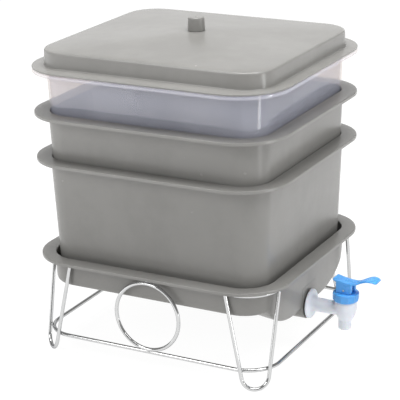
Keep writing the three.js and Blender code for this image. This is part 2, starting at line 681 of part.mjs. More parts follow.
function lidGeometry() {
  const panel = (grow, radiusGrow, height) => outline(
    LID_PANEL_WIDTH / 2 + grow,
    LID_PANEL_DEPTH / 2 + grow,
    LID_PANEL_RADIUS + radiusGrow,
    PLAIN_SIDES,
  ).map(([x, y]) => [x, y, height]);
  const rim = (inset, height) => rimRing(inset, RIM_RADIUS - inset, height, PLAIN_SIDES);
  const padHalf = KNOB_FOOT_DIAMETER / 2 + KNOB_PAD_MARGIN;
  const pad = (height) => outline(padHalf, padHalf, padHalf - KNOB_PAD_MARGIN, PLAIN_SIDES)
    .map(([x, y]) => [x, y, height]);
  const slope = (edge, peak) => LID_SLOPE_SHARES.map((share) => {
    const grow = -LID_EDGE_ROUND;
    return outline(
      mix(padHalf, LID_PANEL_WIDTH / 2 + grow, share),
      mix(padHalf, LID_PANEL_DEPTH / 2 + grow, share),
      mix(padHalf - KNOB_PAD_MARGIN, LID_PANEL_RADIUS + grow, share),
      PLAIN_SIDES,
    ).map(([x, y]) => [x, y, mix(peak, edge, share)]);
  });
  const flangeUnder = LID_FLANGE_TOP - LID_FLANGE_THICKNESS;
  const innerFlare = LID_PANEL_FLARE - LID_THICKNESS;
  const innerRound = LID_EDGE_ROUND - LID_THICKNESS;
  const innerTop = LID_EDGE_HEIGHT - LID_THICKNESS;
  const rounded = quarterRound(3);
  const outerEdge = [...rounded].reverse().map(([side, rise]) => panel(
    -LID_EDGE_ROUND * side,
    -LID_EDGE_ROUND * side,
    LID_EDGE_HEIGHT - LID_EDGE_ROUND * (1 - rise),
  ));
  const innerEdge = quarterRound(2).map(([side, rise]) => panel(
    -LID_THICKNESS - innerRound * side,
    -LID_THICKNESS - innerRound * side,
    innerTop - innerRound * (1 - rise),
  ));
  const rings = [
    pad(LID_PEAK_HEIGHT),
    ...slope(LID_EDGE_HEIGHT, LID_PEAK_HEIGHT),
    ...outerEdge,
    panel(LID_PANEL_FLARE, LID_PANEL_FLARE, LID_FLANGE_TOP),
    rim(RIM_EDGE_ROUND, LID_FLANGE_TOP),
    rim(0, LID_FLANGE_TOP - RIM_EDGE_ROUND),
    rim(0, LID_SEAT),
    rim(LIP_THICKNESS, LID_SEAT),
    rim(LIP_THICKNESS, flangeUnder),
    panel(innerFlare, innerFlare, flangeUnder),
    ...innerEdge,
    ...slope(innerTop, LID_PEAK_HEIGHT - LID_THICKNESS),
    pad(LID_PEAK_HEIGHT - LID_THICKNESS),
  ];
  const shell = toSolid(loft(
    rings,
    [0, 0, LID_PEAK_HEIGHT],
    [0, 0, LID_PEAK_HEIGHT - LID_THICKNESS],
  ));
  const ribInset = TRAY_INSET + TRAY_WALL + LID_RIB_CLEARANCE;
  const ribRadius = TRAY_CORNER_RADIUS - TRAY_WALL - LID_RIB_CLEARANCE;
  const ribAt = (extra, height) => rimRing(ribInset + extra, ribRadius - extra, height, PLAIN_SIDES);
  const ribLow = FEED_RIM_TOP - LID_RIB_DROP;
  const rib = toSolid(loft([
    ribAt(LID_RIB_THICKNESS, innerTop + LID_THICKNESS / 2),
    ribAt(0, innerTop + LID_THICKNESS / 2),
    ribAt(0, ribLow),
    ribAt(LID_RIB_THICKNESS, ribLow),
  ]));
  const hole = toSolid(cylinder(
    SCREW_DIAMETER / 2 + FIT_GAP,
    LID_PEAK_HEIGHT - LID_THICKNESS - OVERRUN,
    LID_PEAK_HEIGHT + OVERRUN,
    SMALL_SIDES,
  ));
  return toGeometry(shell.add(rib).subtract(hole));
}

function knobGeometry() {
  const foot = LID_PEAK_HEIGHT + FIT_GAP;
  const top = foot + KNOB_HEIGHT;
  const footRadius = KNOB_FOOT_DIAMETER / 2;
  const topRadius = KNOB_TOP_DIAMETER / 2;
  const boreRadius = SCREW_DIAMETER / 2 + FIT_GAP;
  const boreTop = foot + SCREW_GRIP + FIT_GAP * 2;
  const edge = quarterRound(4).map(([side, drop]) => [
    topRadius - KNOB_EDGE_ROUND * side,
    top - KNOB_EDGE_ROUND * (1 - drop),
  ]);
  return toGeometry(toSolid(turned([
    [0, boreTop],
    [boreRadius, boreTop],
    [boreRadius, foot],
    [footRadius, foot],
    ...edge,
    [KNOB_PIP_RADIUS, top],
    [KNOB_PIP_RADIUS, top + KNOB_PIP_HEIGHT],
    [0, top + KNOB_PIP_HEIGHT],
  ], ROUND_SIDES)));
}

function knobScrewGeometry() {
  const under = LID_PEAK_HEIGHT - LID_THICKNESS - FIT_GAP;
  const headLow = under - SCREW_HEAD_HEIGHT;
  const headRadius = SCREW_HEAD_DIAMETER / 2;
  const radius = SCREW_DIAMETER / 2;
  return turned([
    [0, headLow],
    [headRadius - SCREW_HEAD_HEIGHT / 2, headLow],
    [headRadius, headLow + SCREW_HEAD_HEIGHT / 2],
    [headRadius, under],
    [radius, under],
    [radius, LID_PEAK_HEIGHT + SCREW_GRIP],
    [0, LID_PEAK_HEIGHT + SCREW_GRIP],
  ], SMALL_SIDES);
}

addPiece('lid', lidGeometry(), greyPlastic());
addPiece('lid_knob', knobGeometry(), greyPlastic());
addPiece('knob_screw', knobScrewGeometry(), steel());

// Tap

const FLANGE_BACK = PAD_REACH + WASHER_THICKNESS + FIT_GAP * 2;
const WALL_INNER_FACE = PAD_REACH - BASE_WALL;
const INNER_WASHER_FACE = WALL_INNER_FACE - FIT_GAP - INNER_WASHER_THICKNESS;
const NUT_FACE = INNER_WASHER_FACE - FIT_GAP - NUT_THICKNESS;
const THREAD_END = NUT_FACE - THREAD_END_LENGTH;

// Turned shapes round the tap's inlet axis, with the profile as [radius, x]
const inletShape = (profile, sides) => alongX(turned(profile, sides)).translate(0, 0, TAP_HEIGHT);
// Turned shapes round the tap's upright axis
const uprightShape = (profile, sides) => turned(profile, sides).translate(TAP_REACH, 0, 0);

function tapBodyGeometry() {
  const flangeFace = FLANGE_BACK + TAP_FLANGE_RIM;
  const crown = quarterRound(4).map(([side, rise]) => [
    mix(TAP_FLANGE_RADIUS, TAP_PIPE_RADIUS, side),
    flangeFace + TAP_FLANGE_CROWN * rise,
  ]);
  const inlet = toSolid(inletShape([
    [0, THREAD_END],
    [TAP_THREAD_RADIUS, THREAD_END],
    [TAP_THREAD_RADIUS, FLANGE_BACK],
    [TAP_FLANGE_RADIUS, FLANGE_BACK],
    ...crown,
    [TAP_PIPE_RADIUS, TAP_REACH - BULB_RADIUS / 2],
    [0, TAP_REACH - BULB_RADIUS / 2],
  ], ROUND_SIDES));
  const bulb = quarterRound(5).reverse().map(([side, drop]) => [
    mix(BULB_RADIUS, SPOUT_RADIUS, side),
    BULB_BOTTOM + BULB_BOTTOM_ROUND * (1 - drop),
  ]);
  const spout = toSolid(turned([
    [0, SPOUT_BOTTOM_HEIGHT],
    [SPOUT_RADIUS - SPOUT_EDGE_ROUND, SPOUT_BOTTOM_HEIGHT],
    [SPOUT_RADIUS, SPOUT_BOTTOM_HEIGHT + SPOUT_EDGE_ROUND],
    [SPOUT_RADIUS, SEAT_HEIGHT],
    [0, SEAT_HEIGHT],
  ], ROUND_SIDES)).translate([TAP_REACH - SPOUT_SET_BACK, 0, 0]);
  const upright = toSolid(uprightShape([
    [0, BULB_BOTTOM],
    ...bulb,
    [BULB_RADIUS, NECK_FOOT],
    [NECK_RADIUS, NECK_FOOT],
    [NECK_RADIUS, NECK_TOP],
    [0, NECK_TOP],
  ], ROUND_SIDES));
  const chamber = toSolid(uprightShape([
    [0, SEAT_HEIGHT],
    [CHAMBER_RADIUS, SEAT_HEIGHT],
    [CHAMBER_RADIUS, NECK_TOP + OVERRUN],
    [0, NECK_TOP + OVERRUN],
  ], ROUND_SIDES));
  const spoutBore = toSolid(cylinder(
    SPOUT_BORE_RADIUS,
    SPOUT_BOTTOM_HEIGHT - OVERRUN,
    SEAT_HEIGHT + OVERRUN,
    ROUND_SIDES,
  )).translate([TAP_REACH - SPOUT_SET_BACK, 0, 0]);
  const pipeBore = toSolid(inletShape([
    [0, THREAD_END - OVERRUN],
    [TAP_PIPE_BORE_RADIUS, THREAD_END - OVERRUN],
    [TAP_PIPE_BORE_RADIUS, TAP_REACH],
    [0, TAP_REACH],
  ], SMALL_SIDES));
  return toGeometry(without(joined([inlet, upright, spout]), [chamber, spoutBore, pipeBore]));
}

function washerGeometry(radius, from, thickness) {
  const bore = TAP_THREAD_RADIUS + TAP_THREAD_CLEARANCE;
  return inletShape([
    [bore, from],
    [radius, from],
    [radius, from + thickness],
    [bore, from + thickness],
    [bore, from],
  ], ROUND_SIDES);
}

function nutGeometry() {
  const shape = new THREE.Shape(Array.from({ length: 6 }, (_, i) => {
    const angle = (i * Math.PI) / 3;
    return new THREE.Vector2(NUT_RADIUS * Math.cos(angle), NUT_RADIUS * Math.sin(angle));
  }));
  const bore = new THREE.Path();
  bore.absarc(0, 0, TAP_THREAD_RADIUS + FIT_GAP, 0, Math.PI * 2, true);
  shape.holes.push(bore);
  const plate = new THREE.ExtrudeGeometry(shape, {
    depth: NUT_THICKNESS,
    bevelEnabled: false,
    curveSegments: SMALL_SIDES / 2,
  });
  return alongX(plate).translate(NUT_FACE, 0, TAP_HEIGHT);
}

// The collar's skirt carries upright ribs for the fingers
function collarGeometry() {
  const low = NECK_FOOT + FIT_GAP;
  const count = COLLAR_RIBS * 4;
  const ring = (radius, height, isRibbed) => Array.from({ length: count }, (_, i) => {
    const dip = isRibbed && i % 4 > 1 ? COLLAR_RIB_DEPTH : 0;
    const angle = (i / count) * Math.PI * 2;
    return [
      TAP_REACH + (radius - dip) * Math.cos(angle),
      (radius - dip) * Math.sin(angle),
      height,
    ];
  });
  const bore = NECK_RADIUS + FIT_GAP;
  return loft([
    ring(bore, low, false),
    ring(bore, COLLAR_TOP - COLLAR_TOP_THICKNESS, false),
    ring(COLLAR_HOLE_RADIUS, COLLAR_TOP - COLLAR_TOP_THICKNESS, false),
    ring(COLLAR_HOLE_RADIUS, COLLAR_TOP, false),
    ring(COLLAR_RADIUS - COLLAR_EDGE_ROUND, COLLAR_TOP, false),
    ring(COLLAR_RADIUS, COLLAR_TOP - COLLAR_EDGE_ROUND, false),
    ring(COLLAR_RADIUS, COLLAR_TOP - COLLAR_EDGE_ROUND * 1.5, true),
    ring(COLLAR_RADIUS, low + COLLAR_FOOT_ROUND, true),
    ring(COLLAR_RADIUS - COLLAR_EDGE_ROUND, low, false),
  ]);
}

const glandTop = NECK_TOP + FIT_GAP + GLAND_THICKNESS;
const spigotLow = NECK_TOP - GLAND_SPIGOT_LENGTH;

function glandGeometry() {
  const bore = STEM_RADIUS + FIT_GAP;
  const spigot = CHAMBER_RADIUS - FIT_GAP;
  return uprightShape([
    [bore, spigotLow],
    [spigot, spigotLow],
    [spigot, NECK_TOP + FIT_GAP],
    [NECK_RADIUS - FIT_GAP, NECK_TOP + FIT_GAP],
    [NECK_RADIUS - FIT_GAP, glandTop],
    [bore, glandTop],
    [bore, spigotLow],
  ], ROUND_SIDES);
}

const plugLow = SEAT_HEIGHT + FIT_GAP;
const plugTop = plugLow + PLUG_HEIGHT;
const discLow = plugTop + FIT_GAP;
const discTop = discLow + STEM_DISC_THICKNESS;
const tongueLow = COLLAR_TOP + FIT_GAP;

const pinHoleSolid = () => toSolid(cylinder(PIN_RADIUS + FIT_GAP, -LEVER_WIDTH, LEVER_WIDTH, SMALL_SIDES)
  .rotateX(quarter).translate(TAP_REACH, 0, PIN_HEIGHT));

function plugGeometry() {
  const socket = STEM_RADIUS + FIT_GAP;
  const socketLow = plugTop - PLUG_SOCKET_DEPTH;
  return toGeometry(toSolid(uprightShape([
    [0, plugLow],
    [PLUG_RADIUS - FIT_GAP, plugLow],
    [PLUG_RADIUS, plugLow + FIT_GAP],
    [PLUG_RADIUS, plugTop],
    [socket, plugTop],
    [socket, socketLow],
    [0, socketLow],
  ], ROUND_SIDES)));
}

function stemGeometry() {
  const end = plugTop - PLUG_SOCKET_DEPTH + FIT_GAP;
  const rod = toSolid(uprightShape([
    [0, end],
    [STEM_RADIUS, end],
    [STEM_RADIUS, discLow],
    [STEM_DISC_RADIUS, discLow],
    [STEM_DISC_RADIUS, discTop],
    [STEM_RADIUS, discTop],
    [STEM_RADIUS, tongueLow + STEM_RADIUS / 2],
    [0, tongueLow + STEM_RADIUS / 2],
  ], SMALL_SIDES));
  const tongue = toSolid(box(
    [TAP_REACH - TONGUE_WIDTH / 2, -TONGUE_THICKNESS / 2, tongueLow],
    [TAP_REACH + TONGUE_WIDTH / 2, TONGUE_THICKNESS / 2, tongueLow + TONGUE_HEIGHT],
  ));
  return toGeometry(rod.add(tongue).subtract(pinHoleSolid()));
}

function springGeometry() {
  const low = discTop + FIT_GAP + SPRING_WIRE_RADIUS;
  const high = spigotLow - FIT_GAP - SPRING_WIRE_RADIUS;
  const count = SPRING_CURLS * 8;
  const places = Array.from({ length: count + 1 }, (_, i) => {
    const angle = (i / count) * SPRING_CURLS * Math.PI * 2;
    return { out: vec(Math.cos(angle), Math.sin(angle), 0), z: mix(low, high, i / count) };
  });
  const points = places.map(({ out, z }) => out.clone().multiplyScalar(SPRING_RADIUS)
    .add(vec(TAP_REACH, 0, z)));
  return tube(points, places.map(({ out }) => out), SPRING_WIRE_RADIUS, 5, false);
}

// The lever: a block of two cheeks with a slot, under a strip that runs from the tail to the paddle.
// Each row gives a place along the strip, its half width, the rise of its top and its thickness.
const STRIP_SHARES = [
  [0, 0.83, 0.55, 1],
  [0.15, 0.83, 0.3, 1],
  [0.3, 0.83, 0.09, 1],
  [0.43, 0.76, 0.05, 0.91],
  [0.53, 0.61, 0.18, 0.73],
  [0.62, 0.59, 0.46, 0.64],
  [0.72, 0.87, 0.78, 0.59],
  [0.82, 1, 1, 0.55],
  [0.92, 0.98, 0.96, 0.46],
  [1, 0.85, 0.75, 0.36],
];

function leverGeometry() {
  const half = CHEEK_LENGTH / 2;
  const low = COLLAR_TOP + FIT_GAP;
  const top = low + LEVER_TOP_RISE;
  const profile = new THREE.Shape();
  profile.moveTo(half, low + CHEEK_ROUND);
  profile.lineTo(half, top);
  profile.lineTo(-half, top);
  profile.lineTo(-half, low + CHEEK_ROUND);
  profile.absarc(-half + CHEEK_ROUND, low + CHEEK_ROUND, CHEEK_ROUND, Math.PI, Math.PI + quarter, false);
  profile.absarc(half - CHEEK_ROUND, low + CHEEK_ROUND, CHEEK_ROUND, -quarter, 0, false);
  const block = toSolid(new THREE.ExtrudeGeometry(profile, {
    depth: LEVER_WIDTH,
    bevelEnabled: false,
    curveSegments: 5,
  }).rotateX(quarter).translate(TAP_REACH, LEVER_WIDTH / 2, 0));
  const slot = toSolid(box(
    [TAP_REACH - LEVER_WIDTH, -SLOT_WIDTH / 2, low - OVERRUN],
    [TAP_REACH + LEVER_WIDTH, SLOT_WIDTH / 2, low + SLOT_HEIGHT],
  ));
  const tailEnd = TAP_REACH - half - TAIL_OVERHANG;
  const paddleEnd = TAP_REACH + PADDLE_REACH;
  const rings = STRIP_SHARES.map(([place, width, rise, depth]) => {
    const x = mix(tailEnd, paddleEnd, place);
    const y = PADDLE_HALF_WIDTH * width;
    const high = top + PADDLE_RISE * rise;
    const thick = STRIP_THICKNESS * depth;
    const edge = thick / 4;
    return [
      [x, -y, high - edge],
      [x, -y, high - thick + edge],
      [x, -y + edge, high - thick],
      [x, y - edge, high - thick],
      [x, y, high - thick + edge],
      [x, y, high - edge],
      [x, y - edge, high],
      [x, -y + edge, high],
    ];
  });
  const middle = (ring) => ring.reduce((sum, p) => sum.map((v, i) => v + p[i] / ring.length), [0, 0, 0]);
  const strip = toSolid(loft(rings, middle(rings[0]), middle(rings[rings.length - 1])));
  return toGeometry(without(block.add(strip), [slot, pinHoleSolid()]));
}

function pinGeometry() {
  const reach = LEVER_WIDTH / 2 + PIN_PROUD;
  return cylinder(PIN_RADIUS, -reach, reach, SMALL_SIDES)
    .rotateX(quarter).translate(TAP_REACH, 0, PIN_HEIGHT);
}

addPiece('tap_body', tapBodyGeometry(), whitePlastic());
const outerWasher = washerGeometry(WASHER_RADIUS, PAD_REACH + FIT_GAP, WASHER_THICKNESS);
const innerWasher = washerGeometry(INNER_WASHER_RADIUS, INNER_WASHER_FACE, INNER_WASHER_THICKNESS);
addPiece('tap_outer_washer', outerWasher, blackRubber());
addPiece('tap_inner_washer', innerWasher, blackRubber());
addPiece('tap_nut', nutGeometry(), whitePlastic());
addPiece('tap_collar', collarGeometry(), bluePlastic());
addPiece('stem_gland', glandGeometry(), whitePlastic());
addPiece('valve_plug', plugGeometry(), blackRubber());
addPiece('valve_stem', stemGeometry(), whitePlastic());
addPiece('valve_spring', springGeometry(), steel());
addPiece('tap_lever', leverGeometry(), bluePlastic());
addPiece('lever_pin', pinGeometry(), steel());

export default group;
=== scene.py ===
# %% [markdown]
# # A stacking worm composter on a wire stand
#
# The real object is a column of thin moulded trays under a lid, set on a chromed wire stand, with a
# lever tap on the right. The CAD model is the frame of this scene: every piece here is made in its
# coordinates, in metres, and rides on one of its bodies, so that trays lift and the lever tips.
# The CAD solids have flat facets, so each of them is made again here with round edges.

import math

import bmesh
import bpy
import numpy as np
from mathutils import Matrix, Vector


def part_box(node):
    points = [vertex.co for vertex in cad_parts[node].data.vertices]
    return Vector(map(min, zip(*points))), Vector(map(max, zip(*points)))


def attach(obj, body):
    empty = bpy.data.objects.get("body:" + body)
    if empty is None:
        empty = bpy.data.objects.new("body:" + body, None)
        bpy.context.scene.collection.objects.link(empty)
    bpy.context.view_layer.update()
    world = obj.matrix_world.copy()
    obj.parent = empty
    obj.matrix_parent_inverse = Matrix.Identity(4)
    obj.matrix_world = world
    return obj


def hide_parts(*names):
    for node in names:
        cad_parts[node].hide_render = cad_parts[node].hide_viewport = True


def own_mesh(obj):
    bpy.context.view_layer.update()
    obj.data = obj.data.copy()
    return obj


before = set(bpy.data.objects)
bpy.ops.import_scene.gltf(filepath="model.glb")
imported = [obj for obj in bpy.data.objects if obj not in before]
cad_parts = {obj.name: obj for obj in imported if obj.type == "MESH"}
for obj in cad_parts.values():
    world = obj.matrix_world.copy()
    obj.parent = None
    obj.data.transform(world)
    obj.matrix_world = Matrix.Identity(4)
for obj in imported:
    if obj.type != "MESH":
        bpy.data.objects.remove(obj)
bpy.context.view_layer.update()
MM = 0.001
print("CAD nodes:", len(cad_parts))

# %% [markdown]
# ## The camera
#
# A camera can be set by eye, but here the rims are four equal rounded rectangles one above the
# other, so their outlines in the photograph fix it well. A fit gave a long lens, a turn of 28
# degrees round the stack, a view from 19 degrees above, and a slight roll. The camera is placed
# from those numbers. The stack's own axis lies a little to the left of the frame's origin, because
# the origin is under the middle of the whole with its tap.

# %% Place the camera
STACK_X = -38.25
FIT_AZIMUTH = math.radians(28.345)
FIT_ELEVATION = math.radians(19.112)
FIT_ROLL = math.radians(-1.332)
FIT_FOCAL_PX = 1572.03
FIT_SIDEWAYS, FIT_UPWARDS, FIT_DISTANCE = -1.70, 49.86, 2081.35
FIT_HEIGHT = 131
IMAGE_PX = 400
SENSOR_MM = 36
FAR_CLIP = 50


def camera_axes():
    """The camera's right, up and back directions, with the fitted roll."""
    a, e = FIT_AZIMUTH, FIT_ELEVATION
    right = Vector((math.cos(a), math.sin(a), 0))
    back = Vector((math.sin(a) * math.cos(e), -math.cos(a) * math.cos(e), math.sin(e)))
    up = back.cross(right)
    rolled_right = right * math.cos(FIT_ROLL) + up * math.sin(FIT_ROLL)
    rolled_up = up * math.cos(FIT_ROLL) - right * math.sin(FIT_ROLL)
    return rolled_right, rolled_up, back


right, up, back = camera_axes()
aim = Vector((STACK_X, 0, FIT_HEIGHT))
place = right * FIT_SIDEWAYS + up * FIT_UPWARDS + back * FIT_DISTANCE + aim
turned_to = Matrix((right, up, back)).transposed().to_4x4()
camera = bpy.data.objects.new("camera", bpy.data.cameras.new("camera"))
camera.data.sensor_width = SENSOR_MM
camera.data.lens = FIT_FOCAL_PX / IMAGE_PX * SENSOR_MM
camera.data.clip_end = FAR_CLIP
camera.matrix_world = Matrix.Translation(place * MM) @ turned_to
bpy.context.scene.collection.objects.link(camera)
bpy.context.scene.camera = camera
print("camera lens:", round(camera.data.lens, 1), "mm, at", [round(v, 3) for v in place * MM])

# %% [markdown]
# ## Floor, light and background
#
# The photograph is a packshot: the lid is about twice as bright as the front, the right side a
# little brighter than the front, and the ground is pure white with no shadow. A light table does
# that: a pale floor that glows by itself lights the walls from below, and hides shadows without
# making the top brighter. A large soft panel above lights the lid. A panel at the front left, a
# thin strip and a higher panel on the right, and a wide dim panel behind shape the sides, and the
# grey world gives the chromed wire something darker to mirror.

# %% Build the studio
WORLD_GLOW = 0.30
MIDDLE = Vector((-0.02, 0, 0.22))
FLOOR_HALF = 40
# Degrees round from the front side, degrees above level, distance, width, height and power
PANELS = {
    "panel_above": (0, 90, 2.1, 1.4, 1.4, 56),
    "panel_front": (-25, 30, 2.4, 1.0, 1.0, 18),
    "strip_right": (88, 12, 2.2, 0.1, 1.5, 6),
    "high_right": (78, 48, 2.2, 1.0, 1.0, 17.5),
    "panel_back": (208, 16, 2.6, 3.0, 1.1, 5.6),
}


def panel_light(name, turn, height, distance, width, tall, power):
    """A soft rectangular light that faces the middle of the stack."""
    round_by, rise = math.radians(turn), math.radians(height)
    level = math.cos(rise)
    out = Vector((math.sin(round_by) * level, -math.cos(round_by) * level, math.sin(rise)))
    light = bpy.data.objects.new(name, bpy.data.lights.new(name, "AREA"))
    light.data.shape = "RECTANGLE"
    light.data.size, light.data.size_y = width, tall
    light.data.energy = power
    light.location = MIDDLE + out * distance
    light.rotation_mode = "QUATERNION"
    light.rotation_quaternion = out.to_track_quat("Z", "Y")
    bpy.context.scene.collection.objects.link(light)


def plain_object(name, vertices, faces, edges=()):
    """An object at the origin, from points in metres."""
    mesh = bpy.data.meshes.new(name)
    mesh.from_pydata([tuple(v) for v in vertices], list(edges), faces)
    made = bpy.data.objects.new(name, mesh)
    bpy.context.scene.collection.objects.link(made)
    return made


world = bpy.data.worlds.new("studio")
world.use_nodes = True
background = world.node_tree.nodes["Background"]
background.inputs["Color"].default_value = (1, 1, 1, 1)
background.inputs["Strength"].default_value = WORLD_GLOW
bpy.context.scene.world = world
bpy.context.scene.view_settings.view_transform = "Standard"
for name, numbers in PANELS.items():
    panel_light(name, *numbers)
floor_corners = [(x * FLOOR_HALF, y * FLOOR_HALF, 0) for x, y in ((-1, -1), (1, -1), (1, 1), (-1, 1))]
floor = plain_object("floor", floor_corners, [(0, 1, 2, 3)])
print("studio with", len(PANELS), "panels over a floor", 2 * FLOOR_HALF, "m wide")

# %% [markdown]
# ## Writing shaders as sums
#
# A shader node tree is a formula drawn as boxes. The first class below lets the script write the
# formula itself: each value stands for one socket, and adding or multiplying two of them adds the
# Math node that does it. The second holds a material. All its other nodes come from one method
# that takes a node's type, its settings and the values or links of its inputs.

# %% A value that builds Math nodes, and a finish that holds a material


class Value:
    """One output socket of a material's node tree, for use in arithmetic."""

    def __init__(self, finish, socket):
        self.finish, self.socket = finish, socket

    def __add__(self, other):
        return self.finish.maths("ADD", self, other)

    __radd__ = __add__

    def __mul__(self, other):
        return self.finish.maths("MULTIPLY", self, other)

    __rmul__ = __mul__

    def __sub__(self, other):
        return self.finish.maths("SUBTRACT", self, other)

    def __rsub__(self, other):
        return self.finish.maths("SUBTRACT", other, self)

    def __abs__(self):
        return self.finish.maths("ABSOLUTE", self)


class Finish:
    """A material under construction: its Principled shader and the nodes that feed it."""

    def __init__(self, name, **constants):
        self.material = bpy.data.materials.new(name)
        self.material.use_nodes = True
        self.tree = self.material.node_tree
        self.shader = self.tree.nodes["Principled BSDF"]
        for key, constant in constants.items():
            self.socket(key).default_value = constant

    def socket(self, key):
        """The shader's input that a word stands for, such as ior or base_color."""
        return self.shader.inputs[key.replace("_", " ").title().replace("Ior", "IOR")]

    def node(self, kind, settings, inputs, output=0):
        """Adds a node, sets its choices, links or sets its inputs, and returns one output."""
        made = self.tree.nodes.new(kind)
        for key, setting in settings.items():
            setattr(made, key, setting)
        for key, value in inputs.items():
            if isinstance(value, Value):
                self.tree.links.new(value.socket, made.inputs[key])
            else:
                made.inputs[key].default_value = value
        return Value(self, made.outputs[output])

    def maths(self, operation, *values):
        return self.node("ShaderNodeMath", {"operation": operation}, dict(enumerate(values)))

    def place(self, scale=(1, 1, 1), turn=(0, 0, 0), start=(0, 0, 0)):
        """Object coordinates, moved, turned and stretched."""
        spot = self.node("ShaderNodeTexCoord", {}, {}, "Object")
        inputs = {"Vector": spot, "Scale": scale, "Rotation": turn, "Location": start}
        return self.node("ShaderNodeMapping", {}, inputs)

    def noise(self, vector, scale, detail=2.0, roughness=0.5):
        inputs = {"Vector": vector, "Scale": scale, "Detail": detail, "Roughness": roughness}
        return self.node("ShaderNodeTexNoise", {}, inputs)

    def soft_step(self, value, low, high):
        """Rises softly from 0 to 1 as a value goes from one limit to the other."""
        inputs = {"Value": value, "From Min": low, "From Max": high}
        return self.node("ShaderNodeMapRange", {"interpolation_type": "SMOOTHSTEP"}, inputs)

    def blend(self, share, first, second):
        """A colour between two colours."""
        return self.node("ShaderNodeMix", {"data_type": "RGBA"}, {0: share, 6: first, 7: second}, 2)

    def bump(self, height, strength, distance):
        inputs = {"Height": height, "Strength": strength, "Distance": distance}
        return self.node("ShaderNodeBump", {}, inputs)

    def see_through(self, tint, share):
        """Mixes the shader with clear air of one tint, where a share of 1 is all shader."""
        air = self.node("ShaderNodeBsdfTransparent", {}, {"Color": tint})
        cloud = Value(self, self.shader.outputs[0])
        mixed = self.node("ShaderNodeMixShader", {}, {0: share, 1: air, 2: cloud})
        self.tree.links.new(mixed.socket, self.tree.nodes["Material Output"].inputs["Surface"])

    def feed(self, **values):
        """Connects worked-out values to the shader, such as base_color, roughness and normal."""
        for key, value in values.items():
            self.tree.links.new(value.socket, self.socket(key))
        print("finish", self.material.name, "with", len(self.tree.nodes), "nodes")
        return self.material


def shade(red, green, blue):
    """A linear colour from the 0-255 values of a screen, all of them above 10."""
    return (*(((v / 255 + 0.055) / 1.055) ** 2.4 for v in (red, green, blue)), 1)


# %% [markdown]
# ## The light table
#
# The walls are glossy enough to mirror the floor. In the photograph the front and the right side
# mirror something brighter further out, and a thin bright line runs down the near corner. So the
# floor glows more in three zones away from the stack, each a product of soft steps along and across
# a direction from the near corner. The floor is white in the picture with or without them, so they
# show only in what the walls mirror. A lamp in their place would also light the lid.

# %% Make the glowing floor
NEAR_CORNER = Vector((0.10, -0.125, 0))
# The shader's strength is TOP_GLOW, and its colour takes it down to the sum of the others
FLOOR_GLOW, LEFT_GLOW, RIGHT_GLOW, LINE_GLOW, TOP_GLOW = 0.93, 0.9, 0.15, 6.0, 8.0
floor_finish = Finish("light_table", specular_ior_level=0.0, emission_strength=TOP_GLOW)


def seen_from_corner(turn):
    """Distances on the floor along and across a direction, by degrees round from the front."""
    angle = math.radians(90 - turn)
    start = Matrix.Rotation(angle, 3, "Z") @ -NEAR_CORNER
    spot = floor_finish.place(turn=(0, 0, angle), start=start)
    split = floor_finish.node("ShaderNodeSeparateXYZ", {}, {"Vector": spot}).socket.node
    return Value(floor_finish, split.outputs["X"]), Value(floor_finish, split.outputs["Y"])


def wedge(turn, flare, edge, near, full):
    """A zone that widens by a slope along a direction, and comes up with the distance."""
    along, across = seen_from_corner(turn)
    inside = floor_finish.soft_step(abs(across) - flare * along, edge, 0.0)
    return inside * floor_finish.soft_step(along, near, full)


along, across = seen_from_corner(-24)
left_zone = floor_finish.soft_step(across, 0.0, -0.08) * floor_finish.soft_step(along, 0.5, 0.75)
line_zone = wedge(90, 0.07, 0.06, 0.5, 0.9)
right_zone = wedge(150, 0.6, 0.1, 0.45, 0.75)
glow = FLOOR_GLOW + LEFT_GLOW * left_zone + LINE_GLOW * line_zone + RIGHT_GLOW * right_zone
fibre = floor_finish.noise(floor_finish.place(), 30, 3, 0.5)
floor.data.materials.append(floor_finish.feed(
    base_color=floor_finish.blend(fibre, shade(100, 100, 100), shade(106, 106, 106)),
    roughness=0.85 + 0.05 * fibre,
    emission_color=floor_finish.blend(glow * (1 / TOP_GLOW), (0, 0, 0, 1), (1, 1, 1, 1)),
))

# %% [markdown]
# ## Grey moulded plastic
#
# The trays and the lid are one warm mid-grey plastic with a satin face. Up close it isn't flat: the
# pigment lies in slow streaks along the way the melt ran, the sheen wanders a little, and the skin
# has a very fine spark-eroded grain. A picture texture could show all this, but noise on Object
# coordinates does it at the true scale on every piece, with no seams.

# %% Make the grey finish
grey_finish = Finish("grey_plastic", ior=1.48, specular_ior_level=0.5)
flow = grey_finish.noise(grey_finish.place(scale=(1, 1, 0.35)), 9, 3, 0.55)
blotch = grey_finish.noise(grey_finish.place(start=(3, 1, 2)), 42, 4, 0.6)
grain = grey_finish.noise(grey_finish.place(), 2400, 2, 0.6)
grey_tone = grey_finish.soft_step(0.7 * flow + 0.3 * blotch, 0.38, 0.62)
grey_plastic = grey_finish.feed(
    base_color=grey_finish.blend(grey_tone, shade(126, 125, 122), shade(132, 131, 128)),
    roughness=0.2 + 0.06 * blotch + 0.05 * flow,
    normal=grey_finish.bump(grain, 0.10, 0.0002),
)

# %% [markdown]
# ## Translucent plastic of the feed tray
#
# The top tray is unpigmented polypropylene, like a food box: milky, faintly blue where there is
# dark behind it, and brighter where the light comes through two walls. Real scattering inside a
# 2 mm wall is slow to render and is lost in an export. So the wall mixes a plain see-through shader
# with a cloudy one, and the haze moves the share between them a little. The cloudy one is only
# about a third of the mix, so it has a high index of refraction to keep the wall's gloss.

